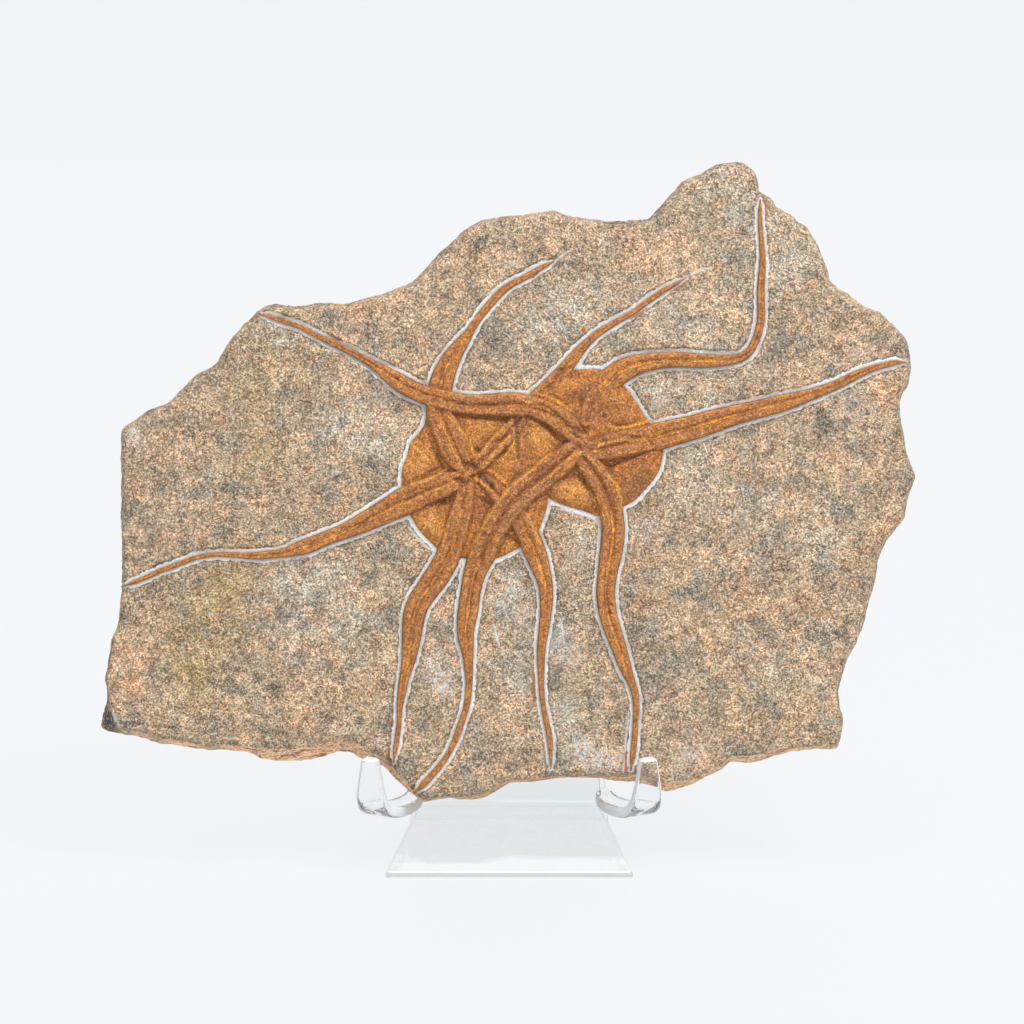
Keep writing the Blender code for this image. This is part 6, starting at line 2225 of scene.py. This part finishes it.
@dataclass(frozen=True)
class StarFinish:
    """Orange-brown fossil: golden discs, browner arms, painted shade in creases and hollows,
    painted highlights on crests, ridges and arm lines.
    """

    name: str = "iron_stained_fossil"
    disc: Colour = tone(200, 130, 62)
    disc_low: Colour = tone(168, 102, 48)
    arm: Colour = tone(190, 120, 62)
    arm_low: Colour = tone(152, 92, 48)
    # Golden of the painted highlights on the arms' lines and the disc ridges.
    line: Colour = tone(240, 168, 72)
    # Light orange of the painted highlight on crests.
    crest: Colour = tone(224, 156, 84)
    # Dark brown of the painted shade in creases and hollows.
    crease_shade: Colour = tone(98, 58, 28)
    speck: Colour = tone(92, 56, 34)
    glint: Colour = tone(220, 178, 138)
    violet: Colour = tone(148, 104, 84)
    gold: Colour = tone(244, 172, 92)

    def arm_highlights(self, bench: NodeBench, arm: Socket) -> tuple[Socket, Socket]:
        """Painted highlights along the arms: a golden line down the middle and one on each flank,
        where the slopes face the light.

        Args:
            bench: Material being built.
            arm: Colour of the plain arms.

        Returns:
            Colour of the arms, and strength of the painted middle highlight.
        """
        open_arm = bench.math("SUBTRACT", 1.0, bench.mark("on_disc"))
        wander = bench.band((5.0, 3.0, 0.5, 0.6), 0.3, 0.7, -0.2, 0.2)
        middle = bench.math("ABSOLUTE", bench.math("ADD", bench.mark("middle_gap"), wander))
        middle = bench.band(middle, 0.14, 0.44, 1.0, 0.0)
        patchy = bench.band((6.0, 3.0, 0.6, 0.9), 0.36, 0.52, 0.3, 1.0)
        half = bench.math("ADD", bench.mark("middle_gap"), bench.mark("flank_gap"))
        open_arm = bench.times(open_arm, bench.band(half, 1.1, 1.7, 0.12, 1.0))
        middle = bench.times(middle, patchy, open_arm)
        arm = bench.blend(middle, arm, self.line)
        flank = bench.mark("flank_gap")
        flank_highlight = bench.times(bench.band(flank, 0.12, 0.3), bench.band(flank, 0.4, 0.75, 1.0, 0.0))
        fades = bench.band((7.0, 3.0, 0.6, 0.45), 0.42, 0.56, 0.0, 0.6)
        return bench.blend(bench.times(flank_highlight, fades, open_arm), arm, self.line), middle

    def build(self) -> bpy.types.Material:
        """Build the material."""
        bench = NodeBench(self.name)
        cloud = bench.band((4.0, 5.0, 0.7), 0.4, 0.6)
        disc = bench.blend(cloud, self.disc, self.disc_low)
        mottle = bench.band((1.8, 5.0, 0.75, 0.2), 0.42, 0.58)
        plain = bench.blend(mottle, self.arm, self.arm_low)
        arm, middle = self.arm_highlights(bench, plain)
        colour = bench.blend(bench.mark("arm"), disc, arm)
        ragged = bench.band((1.6, 5.0, 0.75, 0.4), 0.36, 0.56, 0.2, 1.0)
        dull = bench.times(bench.mark("dull"), ragged, 0.75)
        colour = bench.blend(dull, colour, self.violet)
        golden = bench.mark("golden")
        golden = bench.times(golden, bench.math("SUBTRACT", 1.0, bench.mark("arm")), 0.75)
        colour = bench.blend(golden, colour, self.gold)
        # Painted highlight along the raised disc ridges.
        colour = bench.blend(bench.times(bench.mark("lit"), 0.8), colour, self.line)
        hollow = bench.mark("hollow")
        # Painted highlight on crests that stand above their neighbours.
        colour = bench.blend(bench.band(hollow, -0.03, -0.22, 0.0, 0.3), colour, self.crest)
        # Painted shade in hollows, left off the middle highlight.
        dark = bench.band(hollow, 0.1, 0.5, 0.0, 0.5)
        dark = bench.times(dark, bench.math("SUBTRACT", 1.0, middle))
        # Painted shade along the listed creases and in the hollows.
        shade = bench.times(bench.mark("shade"), 0.66)
        colour = bench.blend(bench.math("MAXIMUM", dark, shade), colour, self.crease_shade)
        speck = bench.band((0.8, 4.0, 0.8, 0.3), 0.52, 0.62, 0.0, 0.66)
        colour = bench.blend(speck, colour, self.speck)
        glint = bench.band((0.7, 4.0, 0.8, 0.66), 0.55, 0.64, 0.0, 0.65)
        colour = bench.blend(glint, colour, self.glint)
        dusk = bench.band((1.3, 4.0, 0.8, 0.74), 0.5, 0.6, 0.0, 0.5)
        colour = bench.blend(bench.times(dusk, bench.mark("arm")), colour, self.violet)
        colour = bench.shade(colour, bench.band(bench.grains(0.32), 0.0, 1.0, 0.62, 1.38))
        normal = bench.relief(bench.noise(1.8, 4.0, 0.7, 0.1), 0.3)
        normal = bench.relief(bench.noise(0.6, 3.0, 0.75, 0.8), 0.2, normal)
        roughness = bench.band((1.2, 3.0, 0.7, 0.5), 0.3, 0.7, 0.62, 0.85)
        return bench.finish({
            "Base Color": colour, "Roughness": roughness, "Normal": normal,
            "Specular IOR Level": 0.3,
        })


@dataclass(frozen=True)
class AcrylicFinish:
    """Polished clear acrylic."""

    name: str = "clear_acrylic"
    tint: Colour = tone(250, 252, 252)
    roughness: float = 0.004
    index: float = 1.49

    def build(self) -> bpy.types.Material:
        """Build the material."""
        bench = NodeBench(self.name)
        scuffs = bench.band((9.0, 5.0, 0.7), 0.45, 0.75, self.roughness, self.roughness * 5.0)
        wave = bench.relief(bench.noise(14.0, 1.0, 0.4, 3.0), 0.02)
        return bench.finish({
            "Base Color": self.tint, "Roughness": scuffs, "Normal": wave,
            "Transmission Weight": 1.0, "IOR": self.index,
        })


@dataclass(frozen=True)
class SawnEdgeFinish:
    """Satin sawn edge of the acrylic sheet."""

    name: str = "sawn_acrylic"
    tint: Colour = tone(250, 252, 252)
    roughness: float = 0.45
    clearness: float = 0.25
    index: float = 1.49

    def build(self) -> bpy.types.Material:
        """Build the material."""
        bench = NodeBench(self.name)
        marks = bench.noise(0.8, 3.0, 0.7)
        roughness = bench.band(marks, 0.3, 0.7, self.roughness * 0.8, self.roughness * 1.2)
        return bench.finish({
            "Base Color": self.tint, "Roughness": roughness, "Normal": bench.relief(marks, 0.03),
            "Transmission Weight": self.clearness, "IOR": self.index,
        })


@dataclass(frozen=True)
class SweepFinish:
    """Pale seamless paper under and behind the piece."""

    name: str = "pale_sweep"
    colour: Colour = tone(80, 81, 82)
    light: Colour = tone(241, 243, 245)
    glow: float = 0.9

    def build(self) -> bpy.types.Material:
        """Build the material."""
        return NodeBench(self.name).finish({
            "Base Color": self.colour, "Roughness": 0.7, "Specular IOR Level": 0.2,
            "Emission Color": self.light, "Emission Strength": self.glow,
        })


@dataclass(frozen=True)
class SoftLight:
    """Soft rectangular light: where it is, its size and power, and what it faces."""

    name: str
    spot: tuple[float, float, float]
    size: tuple[float, float]
    power: float
    target: tuple[float, float, float] = (0.0, 0.0, 0.08)

    def build(self) -> None:
        """Add the light to the scene."""
        data = bpy.data.lights.new(self.name, "AREA")
        data.shape = "RECTANGLE"
        data.size, data.size_y = self.size
        data.energy = self.power
        light = link_object(self.name, data)
        light.location = self.spot
        aim = Vector(self.target) - Vector(self.spot)
        light.rotation_euler = aim.to_track_quat("-Z", "Y").to_euler()


@dataclass
class Studio:
    """Pale sweep, soft lights and the camera square to the plate."""

    plate: PlateFrame
    distance: float = 1.10
    view_width: float = 0.256
    sensor: float = 36.0
    sweep_width: float = 5.0
    sweep_front: float = -2.2
    sweep_bend: float = 1.3
    sweep_radius: float = 0.9
    sweep_top: float = 2.6
    sweep_steps: int = 24
    room_colour: Colour = tone(236, 242, 250)
    room_light: float = 0.42
    lights: tuple[SoftLight, ...] = (
        SoftLight("key_softbox", (0.5, -0.6, 1.1), (0.4, 0.4), 9.6),
        SoftLight("front_fill", (-0.5, -1.6, 0.9), (1.2, 1.0), 3.8),
        SoftLight("overhead_panel", (0.0, -0.3, 1.7), (1.8, 1.2), 10.4),
        SoftLight("sweep_wash", (0.0, 1.2, 1.7), (2.4, 1.2), 6.0, (0.0, 1.9, 0.2)),
    )

    def build_sweep(self) -> bpy.types.Object:
        """Floor that curves up into a backdrop."""
        side = [(self.sweep_front, 0.0)]
        for step in range(self.sweep_steps + 1):
            angle = radians(90.0 * step / self.sweep_steps)
            depth = self.sweep_bend + self.sweep_radius * sin(angle)
            side.append((depth, self.sweep_radius * (1.0 - cos(angle))))
        side.append((self.sweep_bend + self.sweep_radius, self.sweep_top))
        half = self.sweep_width / 2.0
        points = [(x, depth, height) for depth, height in side for x in (-half, half)]
        faces = [(2 * i, 2 * i + 1, 2 * i + 3, 2 * i + 2) for i in range(len(side) - 1)]
        mesh = bpy.data.meshes.new("sweep")
        mesh.from_pydata(points, [], faces)
        shade_smooth(mesh)
        mesh.materials.append(SweepFinish().build())
        return link_object("sweep", mesh)

    def add_camera(self) -> None:
        """Add the camera, square to the plate's face."""
        data = bpy.data.cameras.new("front_camera")
        data.sensor_width = self.sensor
        data.lens = self.sensor * self.distance / self.view_width
        camera = link_object("front_camera", data)
        facing, upward = self.plate.facing, self.plate.upward
        turn = Matrix((upward.cross(facing), upward, facing)).transposed().to_4x4()
        turn.translation = self.plate.origin + facing * self.distance
        camera.matrix_world = turn
        bpy.context.scene.camera = camera

    def add_world(self) -> None:
        """Even pale light from all round."""
        world = bpy.data.worlds.new("pale_room")
        world.use_nodes = True
        background = world.node_tree.nodes["Background"]
        background.inputs["Color"].default_value = self.room_colour
        background.inputs["Strength"].default_value = self.room_light
        bpy.context.scene.world = world
        bpy.context.scene.view_settings.view_transform = "Standard"

    def build(self) -> bpy.types.Object:
        """Build the whole studio and return the sweep."""
        self.add_world()
        for light in self.lights:
            light.build()
        self.add_camera()
        return self.build_sweep()


def scatter_rooms(rock: bpy.types.Object) -> None:
    """Store on the rock where grains and chips may stand, clear of the stand.

    Args:
        rock: The rock mesh with its masks.
    """
    mesh = rock.data
    gap, broken = (
        read_values(mesh.attributes[name].data, "value", kind=np.float32)
        for name in ("star_gap", "broken")
    )
    _, depth, height = read_values(mesh.vertices, "co", 3).T
    near_stand = ease((STAND_ZONE - height) / STAND_FADE)
    write_mark(mesh, "grain_room", ease((gap - 1.5) / 0.6) * (1.0 - near_stand))
    chip_room = ease((broken - 0.5) / 0.4) * (1.0 - near_stand) * (depth < CHIP_DEPTH)
    write_mark(mesh, "chip_room", chip_room)


def settle(
    piece: bpy.types.Object, node: str, slot: str, *materials: bpy.types.Material
) -> None:
    """Dress a finished piece and tie it to the frame.

    Args:
        piece: The finished piece.
        node: Construction node that it stands for.
        slot: Material slot of the record; not used.
        materials: Finishes of the piece, in the order of their face numbers.
    """
    if piece.data.materials:
        piece.data.materials.clear()
    for material in materials:
        piece.data.materials.append(material)
    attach(piece, BODY)
    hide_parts(node)
    triangles = sum(len(face.vertices) - 2 for face in piece.data.polygons)
    log.info("%s: %d triangles", piece.name, triangles)


def main() -> None:
    """Build every piece, its finish and the studio round it."""
    plate = PlateFrame.from_node("fossil_slab", np.array(PLATE_OUTLINE))
    stars, rock = StarRelief(), RockRelief()
    slab = SandstoneSlab(plate, stars, rock).build()
    settle(slab, "fossil_slab", "sandstone", SandstoneFinish().build())
    fossil = BrittleStars(plate, stars).build()
    settle(fossil, "fossil_slab", "sandstone", StarFinish().build())
    scatter_rooms(slab)
    grain_finish = GrainFinish().build()
    for scatter in (
        RockScatter(Scatter.GRAIN, 0.16, 0.1, 0.24, 5),
        RockScatter(Scatter.CHIP, 0.05, 0.15, 0.4, 8),
    ):
        piece = scatter.build(slab, grain_finish)
        settle(piece, "fossil_slab", "sandstone", grain_finish)
    stand = ClearStand(plate).build()
    settle(
        stand, "display_stand", "clear_acrylic", AcrylicFinish().build(), SawnEdgeFinish().build()
    )
    Studio(plate).build()


if __name__ == "__main__":
    logging.basicConfig(level=logging.INFO, format="%(message)s")
    main()
